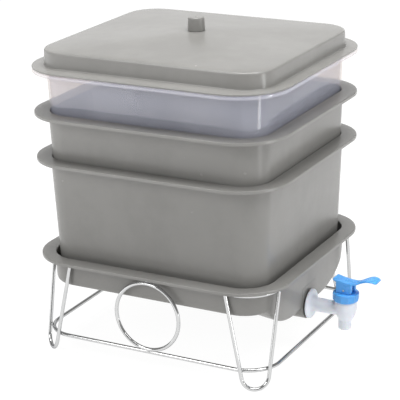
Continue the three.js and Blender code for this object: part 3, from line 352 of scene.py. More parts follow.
# %% Make the translucent finish
clear_finish = Finish("clear_plastic", ior=1.9)
haze = clear_finish.noise(clear_finish.place(scale=(1, 1, 0.5)), 14, 3, 0.5)
ripple = clear_finish.noise(clear_finish.place(), 30, 2, 0.5)
clear_finish.see_through(shade(255, 250, 245), 0.25 + 0.1 * haze)
clear_plastic = clear_finish.feed(
    base_color=clear_finish.blend(haze, shade(202, 209, 230), shade(214, 219, 236)),
    roughness=0.05 + 0.06 * haze,
    normal=clear_finish.bump(ripple, 0.1, 0.0005),
)

# %% [markdown]
# ## Chrome, white, blue, rubber and steel
#
# The stand's wire is drawn steel with bright plating, so it is nearly a mirror with faint lines
# along it. The tap's body is a milky white plastic and its collar and lever a clean blue one. The
# small hidden parts are black rubber and plain steel.

# %% Make the other finishes
# The dark specular tint dims the mirror at the wire's grazing edges: painted shade in place of dark
# surroundings reflected there.
chrome_finish = Finish("bright_wire", metallic=1.0, specular_tint=(0.45, 0.45, 0.47, 1))
drawn = chrome_finish.noise(chrome_finish.place(), 420, 3, 0.6)
speck = chrome_finish.noise(chrome_finish.place(start=(7, 0, 0)), 60, 2, 0.5)
bright_wire = chrome_finish.feed(
    base_color=chrome_finish.blend(speck, shade(198, 199, 200), shade(214, 214, 213)),
    roughness=0.07 + 0.07 * chrome_finish.soft_step(speck, 0.4, 0.7) + 0.03 * drawn,
    normal=chrome_finish.bump(drawn, 0.05, 0.0001),
)


def glossy_plastic(name, cloud_scale, dark, light, roughness, **depth):
    """A plastic with slow clouds of dye under a fine grain, and a little light inside it."""
    finish = Finish(name, ior=1.5, **depth)
    dye = finish.noise(finish.place(), cloud_scale, 3, 0.5)
    fine = finish.noise(finish.place(), 1800, 2, 0.5)
    return finish.feed(
        base_color=finish.blend(dye, dark, light),
        roughness=roughness + 0.08 * dye,
        normal=finish.bump(fine, 0.06, 0.0001),
    )


white_plastic = glossy_plastic(
    "white_plastic", 55, shade(218, 222, 232), shade(230, 233, 240), 0.3,
    subsurface_weight=0.15, subsurface_scale=0.004,
)
blue_plastic = glossy_plastic(
    "blue_plastic", 70, shade(74, 156, 228), shade(86, 166, 236), 0.24,
    subsurface_weight=0.12, subsurface_scale=0.003,
)

rubber_finish = Finish("black_rubber", specular_ior_level=0.3)
bloom = rubber_finish.noise(rubber_finish.place(), 120, 4, 0.6)
black_rubber = rubber_finish.feed(
    base_color=rubber_finish.blend(bloom, shade(30, 30, 31), shade(46, 46, 46)),
    roughness=0.72 + 0.15 * bloom,
    normal=rubber_finish.bump(bloom, 0.15, 0.0002),
)

steel_finish = Finish("plain_steel", metallic=1.0)
lathed = steel_finish.noise(steel_finish.place(scale=(1, 1, 12)), 260, 2, 0.5)
plain_steel = steel_finish.feed(
    base_color=steel_finish.blend(lathed, shade(186, 186, 182), shade(206, 205, 200)),
    roughness=0.25 + 0.12 * lathed,
    normal=steel_finish.bump(lathed, 0.08, 0.0001),
)

# %% [markdown]
# ## Shapes as stacks of rings
#
# A moulded tray is a rounded rectangle that changes size with height. So one list describes it all:
# half width, half depth, corner radius and height, from the middle of the floor inside, up the
# wall, over the rim and down again outside. Corners of that list are softened with short curves,
# each row becomes a ring of points, and neighbouring rings are joined by faces. Compared with
# modelling by hand and a Bevel modifier, this gives exact sizes and clean shading.

# %% Helpers for rings, softened profiles and skins


def rounded_ring(half_x, half_y, radius, steps=12, along=(0, 0, 0, 0)):
    """Points of a rounded rectangle, anticlockwise, with extra points along back, left, front, right."""
    points = []
    corners = ((1, 1), (-1, 1), (-1, -1), (1, -1))
    for number, (sign_x, sign_y) in enumerate(corners):
        for step in range(steps + 1):
            angle = (number + step / steps) * math.pi / 2
            points.append((
                sign_x * (half_x - radius) + radius * math.cos(angle),
                sign_y * (half_y - radius) + radius * math.sin(angle),
            ))
        turn = (number + 1) * math.pi / 2
        next_x, next_y = corners[(number + 1) % 4]
        start = points[-1]
        end = (
            next_x * (half_x - radius) + radius * math.cos(turn),
            next_y * (half_y - radius) + radius * math.sin(turn),
        )
        for step in range(1, along[number] + 1):
            share = step / (along[number] + 1)
            points.append(tuple(a + (b - a) * share for a, b in zip(start, end)))
    return points


def stacked(rows, rise=0):
    """Rings from rows of half width, half depth, corner radius and height."""
    return [[(x, y, rise + z) for x, y in rounded_ring(*flat)] for *flat, z in rows]


def full_turn(count):
    """Angles that go once round in equal steps."""
    return np.linspace(0, 2 * math.pi, count + 1)[:-1]


def soften(rows, steps=4):
    """Rounds the corners of a profile. Each row is its numbers and, last, how far back to start."""
    softened = [rows[0][:-1]]
    for before, here, after in zip(rows, rows[1:], rows[2:]):
        cut = here[-1]
        a, p, b = (np.array(row[:-1], float) for row in (before, here, after))
        if not cut:
            softened.append(tuple(p))
            continue
        start = p + (a - p) * min(0.49, cut / np.linalg.norm(a - p))
        end = p + (b - p) * min(0.49, cut / np.linalg.norm(b - p))
        for step in range(steps + 1):
            t = step / steps
            softened.append(tuple(start * (1 - t) ** 2 + p * 2 * t * (1 - t) + end * t**2))
    softened.append(rows[-1][:-1])
    return softened


def skin(rings, looped=False):
    """Vertices and faces of a closed surface through rings that have the same number of points."""
    count = len(rings[0])
    vertices = [tuple(point) for ring in rings for point in ring]
    faces = []
    for r in range(len(rings) if looped else len(rings) - 1):
        here, there = r * count, (r + 1) % len(rings) * count
        for i in range(count):
            j = (i + 1) % count
            faces.append((here + i, there + i, there + j, here + j))
    if not looped:
        faces.append(tuple(range(count)))
        faces.append(tuple(range((len(rings) - 1) * count, len(rings) * count))[::-1])
    return vertices, faces


# %% Helpers that make, change and settle a piece


def in_metres(points):
    """Places in the frame from points in millimetres about the stack's axis."""
    return [((x + STACK_X) * MM, y * MM, z * MM) for x, y, z in points]


def tidy_mesh(made, finish, smooth_angle=35, triangulated=False):
    """Merges doubles, turns faces outwards, and sets smooth shading and the finish."""
    sculpt = bmesh.new()
    sculpt.from_mesh(made.data)
    bmesh.ops.remove_doubles(sculpt, verts=sculpt.verts, dist=1e-6)
    if triangulated:
        bmesh.ops.triangulate(sculpt, faces=sculpt.faces)
    bmesh.ops.recalc_face_normals(sculpt, faces=sculpt.faces)
    sculpt.to_mesh(made.data)
    sculpt.free()
    made.data.shade_smooth()
    made.data.set_sharp_from_angle(angle=math.radians(smooth_angle))
    made.data.materials.clear()
    made.data.materials.append(finish)


def make_piece(name, vertices, faces, finish, smooth_angle=35, triangulated=False):
    """An object from points in millimetres about the stack's axis."""
    made = plain_object(name, in_metres(vertices), faces)
    tidy_mesh(made, finish, smooth_angle, triangulated)
    return made


def bake_modifiers(made, finish, smooth_angle=35):
    """Replaces an object's mesh by what its modifiers make of it, and removes them."""
    graph = bpy.context.evaluated_depsgraph_get()
    mesh = bpy.data.meshes.new_from_object(made.evaluated_get(graph))
    made.modifiers.clear()
    made.data = mesh
    tidy_mesh(made, finish, smooth_angle)


def combine(target, others, operation, finish, smooth_angle=35):
    """Unites or cuts a piece with other pieces, which are then thrown away."""
    for other in others:
        cut = target.modifiers.new(operation, "BOOLEAN")
        cut.operation, cut.solver, cut.object = operation, "EXACT", other
    bake_modifiers(target, finish, smooth_angle)
    for other in others:
        bpy.data.objects.remove(other)


def settle(piece, body, node=None):
    """Puts a finished piece on its body, in place of a CAD node if one is named."""
    if node:
        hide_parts(node)
    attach(piece, body)
    print(piece.name, "on", body, "has", len(piece.data.polygons), "faces")


# %% [markdown]
# ## The rim that the trays share
#
# Base, trays and lid all end in the same flat flange with a small turned-down lip. Light catches
# its rounded top edge as a thin bright line round each tray. The wall below it leans in by a small
# taper, and that taper is what lets each tray hang inside the next one with only a hair's gap.

# %% Profile of a rimmed shell
GAP = 0.3
RIM_HALF_X, RIM_HALF_Y, RIM_RADIUS = 175, 161, 65
FLANGE, LIP_HEIGHT, LIP_THICK = 2.2, 4.0, 2.0
LOWER_STEP, NEST_STEP, FEED_STEP, FEED_LIP_HEIGHT = 130, 59.5, 56.2, 4.6
TRAY_DEEP, TRAY_INSET, TRAY_RADIUS, TRAY_WALL = 154, 20.3, 38, 2.4
TRAY_FLOOR, TRAY_FILLET, TRAY_FLAT = 2.2, 7, 20
NEST_DRAFT = (TRAY_WALL + GAP) / NEST_STEP
TOP_OF_BASE = 132.5
TOP_OF_LOWER = TOP_OF_BASE + LOWER_STEP
TOP_OF_UPPER = TOP_OF_LOWER + NEST_STEP
TOP_OF_FEED = TOP_OF_UPPER + FEED_STEP


def at_inset(inset, radius, height, cut):
    """A row of a profile at a distance inwards from the rim's edge."""
    return (RIM_HALF_X - inset, RIM_HALF_Y - inset, radius, height, cut)


def shell_profile(height, inset, radius, draft, wall, floor_thick, fillet, flat, lip=LIP_HEIGHT):
    """Rows from the inside floor to the outside floor, with heights below the rim's top."""

    def outer(z):
        return inset - draft * z

    def corner(z):
        return radius + draft * z

    low, floor_top = -height, -height + floor_thick
    return soften([
        at_inset(outer(floor_top) + wall + flat, corner(floor_top) - wall - flat, floor_top, 0),
        at_inset(outer(floor_top) + wall, corner(floor_top) - wall, floor_top, fillet - wall),
        at_inset(inset + wall, radius - wall, -0.9, 0.5),
        at_inset(inset + wall - 0.9, radius - wall + 0.9, 0, 0.7),
        at_inset(0, RIM_RADIUS, 0, 1.9),
        at_inset(0, RIM_RADIUS, -lip, 0.6),
        at_inset(LIP_THICK, RIM_RADIUS - LIP_THICK, -lip, 0.5),
        at_inset(LIP_THICK, RIM_RADIUS - LIP_THICK, -FLANGE, 0.4),
        at_inset(outer(-FLANGE), corner(-FLANGE), -FLANGE, 1.6),
        at_inset(outer(low), corner(low), low, fillet),
        at_inset(outer(low) + flat, corner(low) - flat, low, 0),
    ], 5)


TRAY_SHELL = (TRAY_RADIUS, NEST_DRAFT, TRAY_WALL, TRAY_FLOOR, TRAY_FILLET, TRAY_FLAT)
feed_inset = TRAY_INSET + NEST_DRAFT * (NEST_STEP - FEED_STEP)
tray_rows = shell_profile(TRAY_DEEP, TRAY_INSET, *TRAY_SHELL)
feed_rows = shell_profile(TRAY_DEEP, feed_inset, *TRAY_SHELL, lip=FEED_LIP_HEIGHT)
print("a tray's profile has", len(tray_rows), "rows")

# %% [markdown]
# ## Drain holes with Geometry Nodes
#
# Liquid and worms pass through a grid of holes in each tray's floor. Holes that repeat on a grid
# are a job for Geometry Nodes: a Mesh Grid gives the places, a cylinder is put on each point, and
# one Mesh Boolean cuts them all. The tree has named inputs, so the same one serves all trays.

# %% A Geometry Nodes tree with named inputs


class ShapeTree:
    """A tree that is built node by node, and then run on pieces."""

    def __init__(self, name, inputs):
        self.tree = bpy.data.node_groups.new(name, "GeometryNodeTree")
        for side in ("INPUT", "OUTPUT"):
            self.tree.interface.new_socket("Geometry", in_out=side, socket_type="NodeSocketGeometry")
        for label, kind in inputs.items():
            self.tree.interface.new_socket(label, in_out="INPUT", socket_type="NodeSocket" + kind)
        self.given = self.tree.nodes.new("NodeGroupInput").outputs

    def add(self, kind, inputs, **settings):
        """Adds a node, sets its choices, links or sets its inputs, and returns its outputs."""
        made = self.tree.nodes.new(kind)
        for key, value in settings.items():
            setattr(made, key, value)
        for key, value in inputs.items():
            if isinstance(value, bpy.types.NodeSocket):
                self.tree.links.new(value, made.inputs[key])
            else:
                made.inputs[key].default_value = value
        return made.outputs

    def maths(self, operation, first, second):
        return self.add("ShaderNodeMath", {0: first, 1: second}, operation=operation)[0]

    def end(self, geometry):
        """Ends the tree: real geometry, with the finish that was asked for."""
        real = self.add("GeometryNodeRealizeInstances", {"Geometry": geometry})
        painted = self.add("GeometryNodeSetMaterial", {
            "Geometry": real["Geometry"], "Material": self.given["Finish"],
        })
        result = self.tree.nodes.new("NodeGroupOutput")
        self.tree.links.new(painted["Geometry"], result.inputs[0])
        print("tree", self.tree.name, "has", len(self.tree.nodes), "nodes")

    def run(self, piece, values, finish, smooth_angle=35):
        """Runs the tree on a piece with the given inputs and keeps the result as a plain mesh."""
        modifier = piece.modifiers.new(self.tree.name, "NODES")
        modifier.node_group = self.tree
        sockets = {item.name: item.identifier for item in self.tree.interface.items_tree}
        for label, value in {**values, "Finish": finish}.items():
            modifier[sockets[label]] = value
        bake_modifiers(piece, finish, smooth_angle)


# %% Build the tree that drills a grid of holes
HOLE_COLUMNS, HOLE_ROWS, HOLE_PITCH, HOLE_RADIUS = 6, 5, 46, 3
HOLE_SIDES, BIT_LENGTH = 20, 20
drill = ShapeTree("grid_of_holes", {
    "Columns": "Int", "Rows": "Int", "Pitch": "Float",
    "Hole radius": "Float", "Floor middle": "Vector", "Finish": "Material",
})


def span_of(count):
    """The length of a row of places: the pitch times one less than their number."""
    return drill.maths("MULTIPLY", drill.maths("SUBTRACT", drill.given[count], 1.0), drill.given["Pitch"])


grid = drill.add("GeometryNodeMeshGrid", {
    "Size X": span_of("Columns"), "Size Y": span_of("Rows"),
    "Vertices X": drill.given["Columns"], "Vertices Y": drill.given["Rows"],
})
moved = drill.add("GeometryNodeTransform", {
    "Geometry": grid["Mesh"], "Translation": drill.given["Floor middle"],
})
bit = drill.add("GeometryNodeMeshCylinder", {
    "Vertices": HOLE_SIDES, "Radius": drill.given["Hole radius"], "Depth": BIT_LENGTH * MM,
})
bits = drill.add("GeometryNodeInstanceOnPoints", {"Points": moved["Geometry"], "Instance": bit["Mesh"]})
solid_bits = drill.add("GeometryNodeRealizeInstances", {"Geometry": bits["Instances"]})
bored = drill.add("GeometryNodeMeshBoolean", {
    "Mesh 1": drill.given["Geometry"], "Mesh 2": solid_bits["Geometry"],
}, operation="DIFFERENCE")
drill.end(bored["Mesh"])

# %% Make the three trays
HOLE_MIDDLE = TRAY_DEEP - 1


def make_tray(name, node, body, rows, rim_top, finish, slot):
    """A tray from its rows, with drain holes, on its own body."""
    tray = make_piece(name, *skin(stacked(rows, rim_top)), finish)
    drill.run(tray, {
        "Columns": HOLE_COLUMNS, "Rows": HOLE_ROWS, "Pitch": HOLE_PITCH * MM,
        "Hole radius": HOLE_RADIUS * MM, "Floor middle": (STACK_X * MM, 0, (rim_top - HOLE_MIDDLE) * MM),
    }, finish)
    settle(tray, body, node)


grey, clear = (grey_plastic, "grey_plastic"), (clear_plastic, "clear_plastic")
make_tray("lower_worm_tray", "lower_tray", "lower", tray_rows, TOP_OF_LOWER, *grey)
make_tray("upper_worm_tray", "upper_tray", "upper", tray_rows, TOP_OF_UPPER, *grey)
make_tray("feed_scrap_tray", "feed_tray", "feed", feed_rows, TOP_OF_FEED, *clear)

# %% [markdown]
# ## The base tray
#
# The base catches the liquid. Its floor falls to the right in a wide soft valley and ends in a small
# pocket behind the tap, where the wall has a flat pad for the tap's washer. The valley is a formula
# of x and y that lowers the floor and the bend under it. The pocket, the pad and the pegs that
# carry the first tray are separate closed shapes, and exact booleans unite and cut them.

# %% The valley's formula and the base's rows
BASE_DRAFT, BASE_WALL, BASE_DEEP, BASE_BEND = 0.055, 2.5, 37.8, 6.0
BASE_INSET, BASE_RADIUS, BASE_FLAT = 18, 42, 8
VALLEY_DROP, VALLEY_START, VALLEY_RUN = 32.5, 7.0, 150.0
VALLEY_FLAT, VALLEY_EDGE, VALLEY_CURVE = 40.0, 112.0, 0.7
# Points that each ring has more on its back, left, front and right, to follow the valley
EXTRA_POINTS = (18, 4, 18, 26)
# Sizes of the rings within the floor, as shares of its outline
FLOOR_SHARES = (0.94, 0.86, 0.77, 0.67, 0.56, 0.44, 0.32, 0.2, 0.08)
# Rows up to this share of the bend's height go down with the floor
LOWERED_SHARE = 1.02


def valley(x, y):
    """How far the floor lies below its level part, in millimetres."""
    along = min(max((x - VALLEY_START) / VALLEY_RUN, 0), 1)
    side = min(max((abs(y) - VALLEY_FLAT) / (VALLEY_EDGE - VALLEY_FLAT), 0), 1)
    return VALLEY_DROP * along * (1 - side**2) ** VALLEY_CURVE


def base_ring(row, share=1.0):
    """A ring of the base, with its points below the bend lowered into the valley."""
    half_x, half_y, radius, z = row
    flat = rounded_ring(half_x * share, half_y * share, radius * share, along=EXTRA_POINTS)
    drops = z < -BASE_DEEP + BASE_BEND * LOWERED_SHARE
    return [(x, y, TOP_OF_BASE + z - (valley(x, y) if drops else 0)) for x, y in flat]


def lowered_solid(name, rows, above=None):
    """A closed solid from a wall's rows, with the valley's floor below and a flat lid above."""
    rings = [base_ring(row) for row in rows] + [base_ring(rows[-1], share) for share in FLOOR_SHARES]
    if above:
        rings.insert(0, [(x, y, z + above) for x, y, z in rings[0]])
    return make_piece(name, *skin(rings), grey_plastic, triangulated=True)


base_rows = shell_profile(
    BASE_DEEP, BASE_INSET, BASE_RADIUS, BASE_DRAFT, BASE_WALL, BASE_WALL, BASE_BEND, BASE_FLAT
)
top_row = next(i for i, row in enumerate(base_rows) if abs(row[3]) < 1e-6)
base_tray = lowered_solid("sump_tray", base_rows[top_row:])
hollow = lowered_solid("sump_hollow", base_rows[top_row::-1], above=3)
print("valley's depth at its end:", valley(VALLEY_START + VALLEY_RUN, 0), "mm")

# %% The pocket, pegs and seat ribs
TAP_Z, PIPE_BORE = 65.3, 8.5
PEG_FOOT, PEG_TOP, PEG_ROOT, PEG_SIDES = 8, 6, 4, 24
RIB_HALF, RIB_LOW, RIB_HIGH = 1.5, TOP_OF_BASE - FLANGE - 3.1, TOP_OF_BASE - FLANGE / 2


def pocket_solid(name, half_y, bottom, top, left, right, corner, bevel):
    """A block along X with a rounded underside and a rounded left end."""
    quarter = math.pi / 2
    bends = [(1, t) for t in np.linspace(0, quarter, 9)] + [(-1, t) for t in np.linspace(quarter, 0, 9)]
    rounded_end = [
        (left + bevel * (1 - math.cos(t)), bevel * (1 - math.sin(t))) for t in np.linspace(0, quarter, 5)
    ]
    rings = []
    for x, shrink in [*rounded_end, (right, 0)]:
        half, low, bend = half_y - shrink, bottom + shrink, max(corner - shrink, 0.5)
        underside = [
            (x, sign * (half - bend + bend * math.cos(t)), low + bend - bend * math.sin(t))
            for sign, t in bends
        ]
        rings.append([(x, half, top), *underside, (x, -half, top)])
    return make_piece(name, *skin(rings), grey_plastic, triangulated=True)


def turned_rows(profile, sides, centre=(0, 0)):
    """Rings of a turned shape round an upright axis: rows of radius and height."""
    angles = [2 * math.pi * i / sides for i in range(sides)]
    return [
        [(centre[0] + r * math.cos(t), centre[1] + r * math.sin(t), z) for t in angles]
        for r, z in ((max(radius, 1e-4), height) for radius, height in profile)
    ]


def block(low, high):
    """A box between two corners."""
    x, y, z = zip(low, high)
    plan = [(x[0], y[0]), (x[1], y[0]), (x[1], y[1]), (x[0], y[1])]
    return skin([[(*corner, level) for corner in plan] for level in z])


def several(name, parts, finish):
    """One object from several separate closed shapes."""
    vertices, faces = [], []
    for some_vertices, some_faces in parts:
        faces += [tuple(i + len(vertices) for i in face) for face in some_faces]
        vertices += some_vertices
    return make_piece(name, vertices, faces, finish, triangulated=True)


def peg(x, y):
    """A tapering peg from below the valley's floor to just under the lower tray."""
    foot = TOP_OF_BASE - BASE_DEEP - valley(x, y) - PEG_ROOT
    rows = [(PEG_FOOT, foot), (PEG_TOP, TOP_OF_LOWER - TRAY_DEEP - GAP)]
    return skin(turned_rows(rows, PEG_SIDES, (x, y)))


def rib(x, y):
    """A rib under the rim, from its ranges of x and y."""
    return block((x[0], y[0], RIB_LOW), (x[1], y[1], RIB_HIGH))


pad = pocket_solid("pad", half_y=20, bottom=46.5, top=92, left=119, right=156, corner=16, bevel=4)
pocket = pocket_solid(
    "pocket", half_y=17.5, bottom=49, top=92.2, left=121.5, right=153.5, corner=13.5, bevel=3
)
pegs = several("pegs", [peg(x, y) for x in (-109, 0, 109) for y in (-95, 95)], grey_plastic)
ribs = several("seat_ribs", [
    rib((x - RIB_HALF, x + RIB_HALF), y)
    for x in (-88, -44, 0, 44, 88) for y in ((-155, -141.5), (141.5, 155))
] + [
    rib(x, (y - RIB_HALF, y + RIB_HALF))
    for y in (-67, 67) for x in ((-169, -155.5), (155.5, 169))
], grey_plastic)
inlet_hole = several("inlet_hole", [skin([
    [(x, PIPE_BORE * math.cos(t), TAP_Z + PIPE_BORE * math.sin(t)) for t in full_turn(32)]
    for x in (140, 160)
])], grey_plastic)
peg_limit = base_tray.copy()
peg_limit.data = base_tray.data.copy()
bpy.context.scene.collection.objects.link(peg_limit)
combine(pegs, [peg_limit], "INTERSECT", grey_plastic)
combine(base_tray, [pad], "UNION", grey_plastic)
combine(base_tray, [hollow, pocket, inlet_hole], "DIFFERENCE", grey_plastic)
combine(base_tray, [pegs, ribs], "UNION", grey_plastic, 30)
settle(base_tray, "stand", "base_tray")

# %% [markdown]
# ## The lid and its knob
#
# The lid's panel stands on a flange like the trays' and rises in a shallow hip to a small flat where
# the knob sits. The same rings do it: from the flat at the top, out to the rounded edge, down the
# skirt, round the flange and back inside. The knob is a short turned plug with a soft top edge.

# %% Make the lid
LID_WALL, LID_PLATE, LID_LIP_HEIGHT = 2.2, 1.4, 2
LID_SEAT = TOP_OF_FEED + GAP
LID_FLANGE = LID_SEAT + LID_LIP_HEIGHT
LID_EDGE, LID_PEAK = LID_FLANGE + 20.8, LID_FLANGE + 30.8
PANEL = (157.8, 139.0, 39.0)
PAD_HALF, PAD_RADIUS, PAD_MARGIN = 14.1, 11.1, 3
RIDGE = (RIM_HALF_X - 23.9, RIM_HALF_Y - 23.9, 34.4)
RIDGE_THICK, RIDGE_ROUND = 2, 0.4
RIDGE_LOW, RIDGE_HIGH = TOP_OF_FEED - 5, LID_EDGE - LID_PLATE
SCREW_BORE = 2.3


def panel_row(grow):
    return tuple(v + grow for v in PANEL)


def hip_rows(drop, inset, count=9):
    """Rows from the flat under the knob towards the panel's edge, as one even slope."""
    rows = []
    for step in range(count):
        share = step / count
        rows.append((
            PAD_HALF + (PANEL[0] - inset - PAD_HALF) * share,
            PAD_HALF + (PANEL[1] - inset - PAD_HALF) * share,
            PAD_RADIUS + (PANEL[2] - inset - PAD_RADIUS) * share,
            LID_PEAK - drop - (LID_PEAK - LID_EDGE) * share,
            2.0 if step else 0,
        ))
    return rows


lid_rows = soften([
    *hip_rows(0, 0),
    (*panel_row(0), LID_EDGE, 3.2),
    (*panel_row(0.8), LID_FLANGE, 2.4),
    at_inset(0, RIM_RADIUS, LID_FLANGE, 0.9),
    at_inset(0, RIM_RADIUS, LID_SEAT, 0.6),
    at_inset(LIP_THICK, RIM_RADIUS - LIP_THICK, LID_SEAT, 0.3),
    at_inset(LIP_THICK, RIM_RADIUS - LIP_THICK, LID_FLANGE - LID_PLATE, 0.2),
    (*panel_row(-LID_PLATE), LID_FLANGE - LID_PLATE, 1.2),
    (*panel_row(-LID_WALL), LID_EDGE - LID_WALL, 1.2),
    *hip_rows(LID_WALL, LID_WALL)[::-1],
    (PAD_HALF - PAD_MARGIN, PAD_HALF - PAD_MARGIN, PAD_RADIUS - PAD_MARGIN, LID_PEAK - LID_WALL, 0),
], 5)
lid = make_piece("cover", *skin(stacked(lid_rows)), grey_plastic)
ridge_rows = [(*(v - inset for v in RIDGE), z) for inset, z in (
    (0, RIDGE_HIGH),
    (0, RIDGE_LOW + RIDGE_ROUND),
    (RIDGE_ROUND, RIDGE_LOW),
    (RIDGE_THICK - RIDGE_ROUND, RIDGE_LOW),
    (RIDGE_THICK, RIDGE_LOW + RIDGE_ROUND),
    (RIDGE_THICK, RIDGE_HIGH),
)]
ridge = make_piece("lid_ridge", *skin(stacked(ridge_rows), looped=True), grey_plastic)
screw_hole = several("screw_hole", [
    skin(turned_rows([(SCREW_BORE, LID_PEAK - 6), (SCREW_BORE, LID_PEAK + 4)], 24)),
], grey_plastic)
combine(lid, [ridge], "UNION", grey_plastic, 30)
combine(lid, [screw_hole], "DIFFERENCE", grey_plastic, 30)
settle(lid, "cover", "lid")

# %% Make the knob
KNOB_LOW = LID_PEAK + GAP
KNOB_TOP = KNOB_LOW + 17.2
KNOB_BORE_TOP = KNOB_LOW + 12
knob_rows = soften([
    (0, KNOB_BORE_TOP, 0),
    (SCREW_BORE, KNOB_BORE_TOP, 0.3),
    (SCREW_BORE, KNOB_LOW, 0.3),
    (11.1, KNOB_LOW, 0.5),
    (10.4, KNOB_TOP, 1.8),
    (1.5, KNOB_TOP - 0.1, 0.3),
    (1.1, KNOB_TOP + 0.45, 0.3),
    (0, KNOB_TOP + 0.5, 0),
], 6)
knob = make_piece("cover_knob", *skin(turned_rows(knob_rows, 64)), grey_plastic)
settle(knob, "cover", "lid_knob")

# %% [markdown]
# ## The wire stand
#
# The stand is eight lengths of the same bright wire: two rings, four hairpin legs and two circles.
# Each is given as a path, and one Geometry Nodes tree sweeps a round section along it. A Curve
# object with a bevel would also do, but a tree takes its sizes as named inputs and leaves a plain
# mesh. Where wires touch there is a small bead of weld: a sphere on each point of contact, made a
# little lumpy by a noise along its normals.

# %% Build the tree that sweeps a wire and the tree that lays beads
sweep = ShapeTree("sweep_wire", {"Wire radius": "Float", "Sides": "Int", "Finish": "Material"})
path = sweep.add("GeometryNodeMeshToCurve", {"Mesh": sweep.given["Geometry"]})
section = sweep.add("GeometryNodeCurvePrimitiveCircle", {
    "Resolution": sweep.given["Sides"], "Radius": sweep.given["Wire radius"],
})
swept = sweep.add("GeometryNodeCurveToMesh", {
    "Curve": path["Curve"], "Profile Curve": section["Curve"], "Fill Caps": True,
})
sweep.end(swept["Mesh"])

beads = ShapeTree("lay_beads", {"Bead radius": "Float", "Lumps": "Float", "Finish": "Material"})
ball = beads.add("GeometryNodeMeshIcoSphere", {"Radius": beads.given["Bead radius"], "Subdivisions": 4})
laid = beads.add("GeometryNodeInstanceOnPoints", {
    "Points": beads.given["Geometry"], "Instance": ball["Mesh"],
})
loose = beads.add("GeometryNodeRealizeInstances", {"Geometry": laid["Instances"]})
spot = beads.add("GeometryNodeInputPosition", {})
lumps = beads.add("ShaderNodeTexNoise", {"Vector": spot[0], "Scale": 420.0, "Detail": 1.0})
height = beads.maths("MULTIPLY", beads.maths("SUBTRACT", lumps[0], 0.5), beads.given["Lumps"])
facing = beads.add("GeometryNodeInputNormal", {})
push = beads.add("ShaderNodeVectorMath", {0: facing[0], "Scale": height}, operation="SCALE")
lumpy = beads.add("GeometryNodeSetPosition", {"Geometry": loose["Geometry"], "Offset": push[0]})
beads.end(lumpy["Geometry"])

# %% Sizes and bending of the wires
WIRE_RADIUS, WIRE_SIDES, RING_STEPS, CIRCLE_STEPS, BEND_STEPS = 2.4, 24, 20, 96, 24
RING_HALF_X, RING_HALF_Y, RING_CORNER = 162.5, 145.5, 42
TOP_RING, LOWER_RING = 124.5, 26
CIRCLE_ROOM = 9
CIRCLE_RADIUS = (TOP_RING - LOWER_RING - CIRCLE_ROOM) / 2
TOUCHING = WIRE_RADIUS * 2 + GAP
CIRCLE_STAND = math.sqrt(TOUCHING**2 - ((TOP_RING - LOWER_RING) / 2 - CIRCLE_RADIUS) ** 2)
CIRCLE_Y, CIRCLE_Z = RING_HALF_Y + CIRCLE_STAND, (TOP_RING + LOWER_RING) / 2
TAP_END_PLAN, FAR_END_PLAN = math.radians(54.5), math.radians(49)
LEG_TOP_HALF, LEG_LOW_HALF, LEG_TOP_REACH, LEG_OVERRUN = 33.4, 18.5, 27.8, 1
WELD_HEIGHT, WELD_SHARE, BEAD_RADIUS, BEAD_LUMPS = 2.2, 0.947, 2.0, 1.1


def sweep_along(name, points, closed, radius, sides, finish):
    """A round wire along a path, as a plain mesh."""
    count = len(points)
    edges = [(i, (i + 1) % count) for i in range(count if closed else count - 1)]
    wire = plain_object(name, in_metres(points), [], edges)
    sweep.run(wire, {"Wire radius": radius * MM, "Sides": sides}, finish, 50)
    return wire


def bend_wire(name, node, points, closed):
    """One length of the stand's wire."""
    wire = sweep_along(name, points, closed, WIRE_RADIUS, WIRE_SIDES, bright_wire)
    settle(wire, "stand", node)


def leg_places(sign_x, sign_y):
    """The path of a hairpin leg, and the spots where it is welded."""
    top = TOP_RING - WIRE_RADIUS - GAP
    low_reach = math.sqrt((RING_CORNER + TOUCHING) ** 2 - LEG_LOW_HALF**2)
    drop = top - LOWER_RING
    lean = (low_reach - LEG_TOP_REACH) / drop
    slant = math.hypot(1, lean)
    closing = (LEG_TOP_HALF - LEG_LOW_HALF) / drop / slant
    angle = math.atan(closing)
    length = (top - WIRE_RADIUS / slant) * slant
    bend = (LEG_TOP_HALF - closing * length) * math.cos(angle) / (1 - closing * math.cos(angle))
    # The hairpin laid flat, as places across it and down its slope
    flat = [
        (LEG_TOP_HALF + closing, -LEG_OVERRUN),
        *(
            (bend * math.cos(t), length - bend + bend * math.sin(t))
            for t in np.linspace(angle, math.pi - angle, BEND_STEPS + 1)
        ),
        (-LEG_TOP_HALF - closing, -LEG_OVERRUN),
    ]
    plan = TAP_END_PLAN if sign_x > 0 else FAR_END_PLAN
    out = np.array((sign_x * math.cos(plan), sign_y * math.sin(plan)))
    across = np.array((-out[1], out[0]))
    centre = np.array((sign_x * (RING_HALF_X - RING_CORNER), sign_y * (RING_HALF_Y - RING_CORNER)))
    points = [
        (*(centre + out * (LEG_TOP_REACH + lean * v / slant) + across * u), top - v / slant)
        for u, v in flat
    ]
    touches = [
        (*(centre + (out * low_reach + across * u) * WELD_SHARE), LOWER_RING)
        for u in (-LEG_LOW_HALF, LEG_LOW_HALF)
    ]
    return points, [points[0], points[-1], *touches]


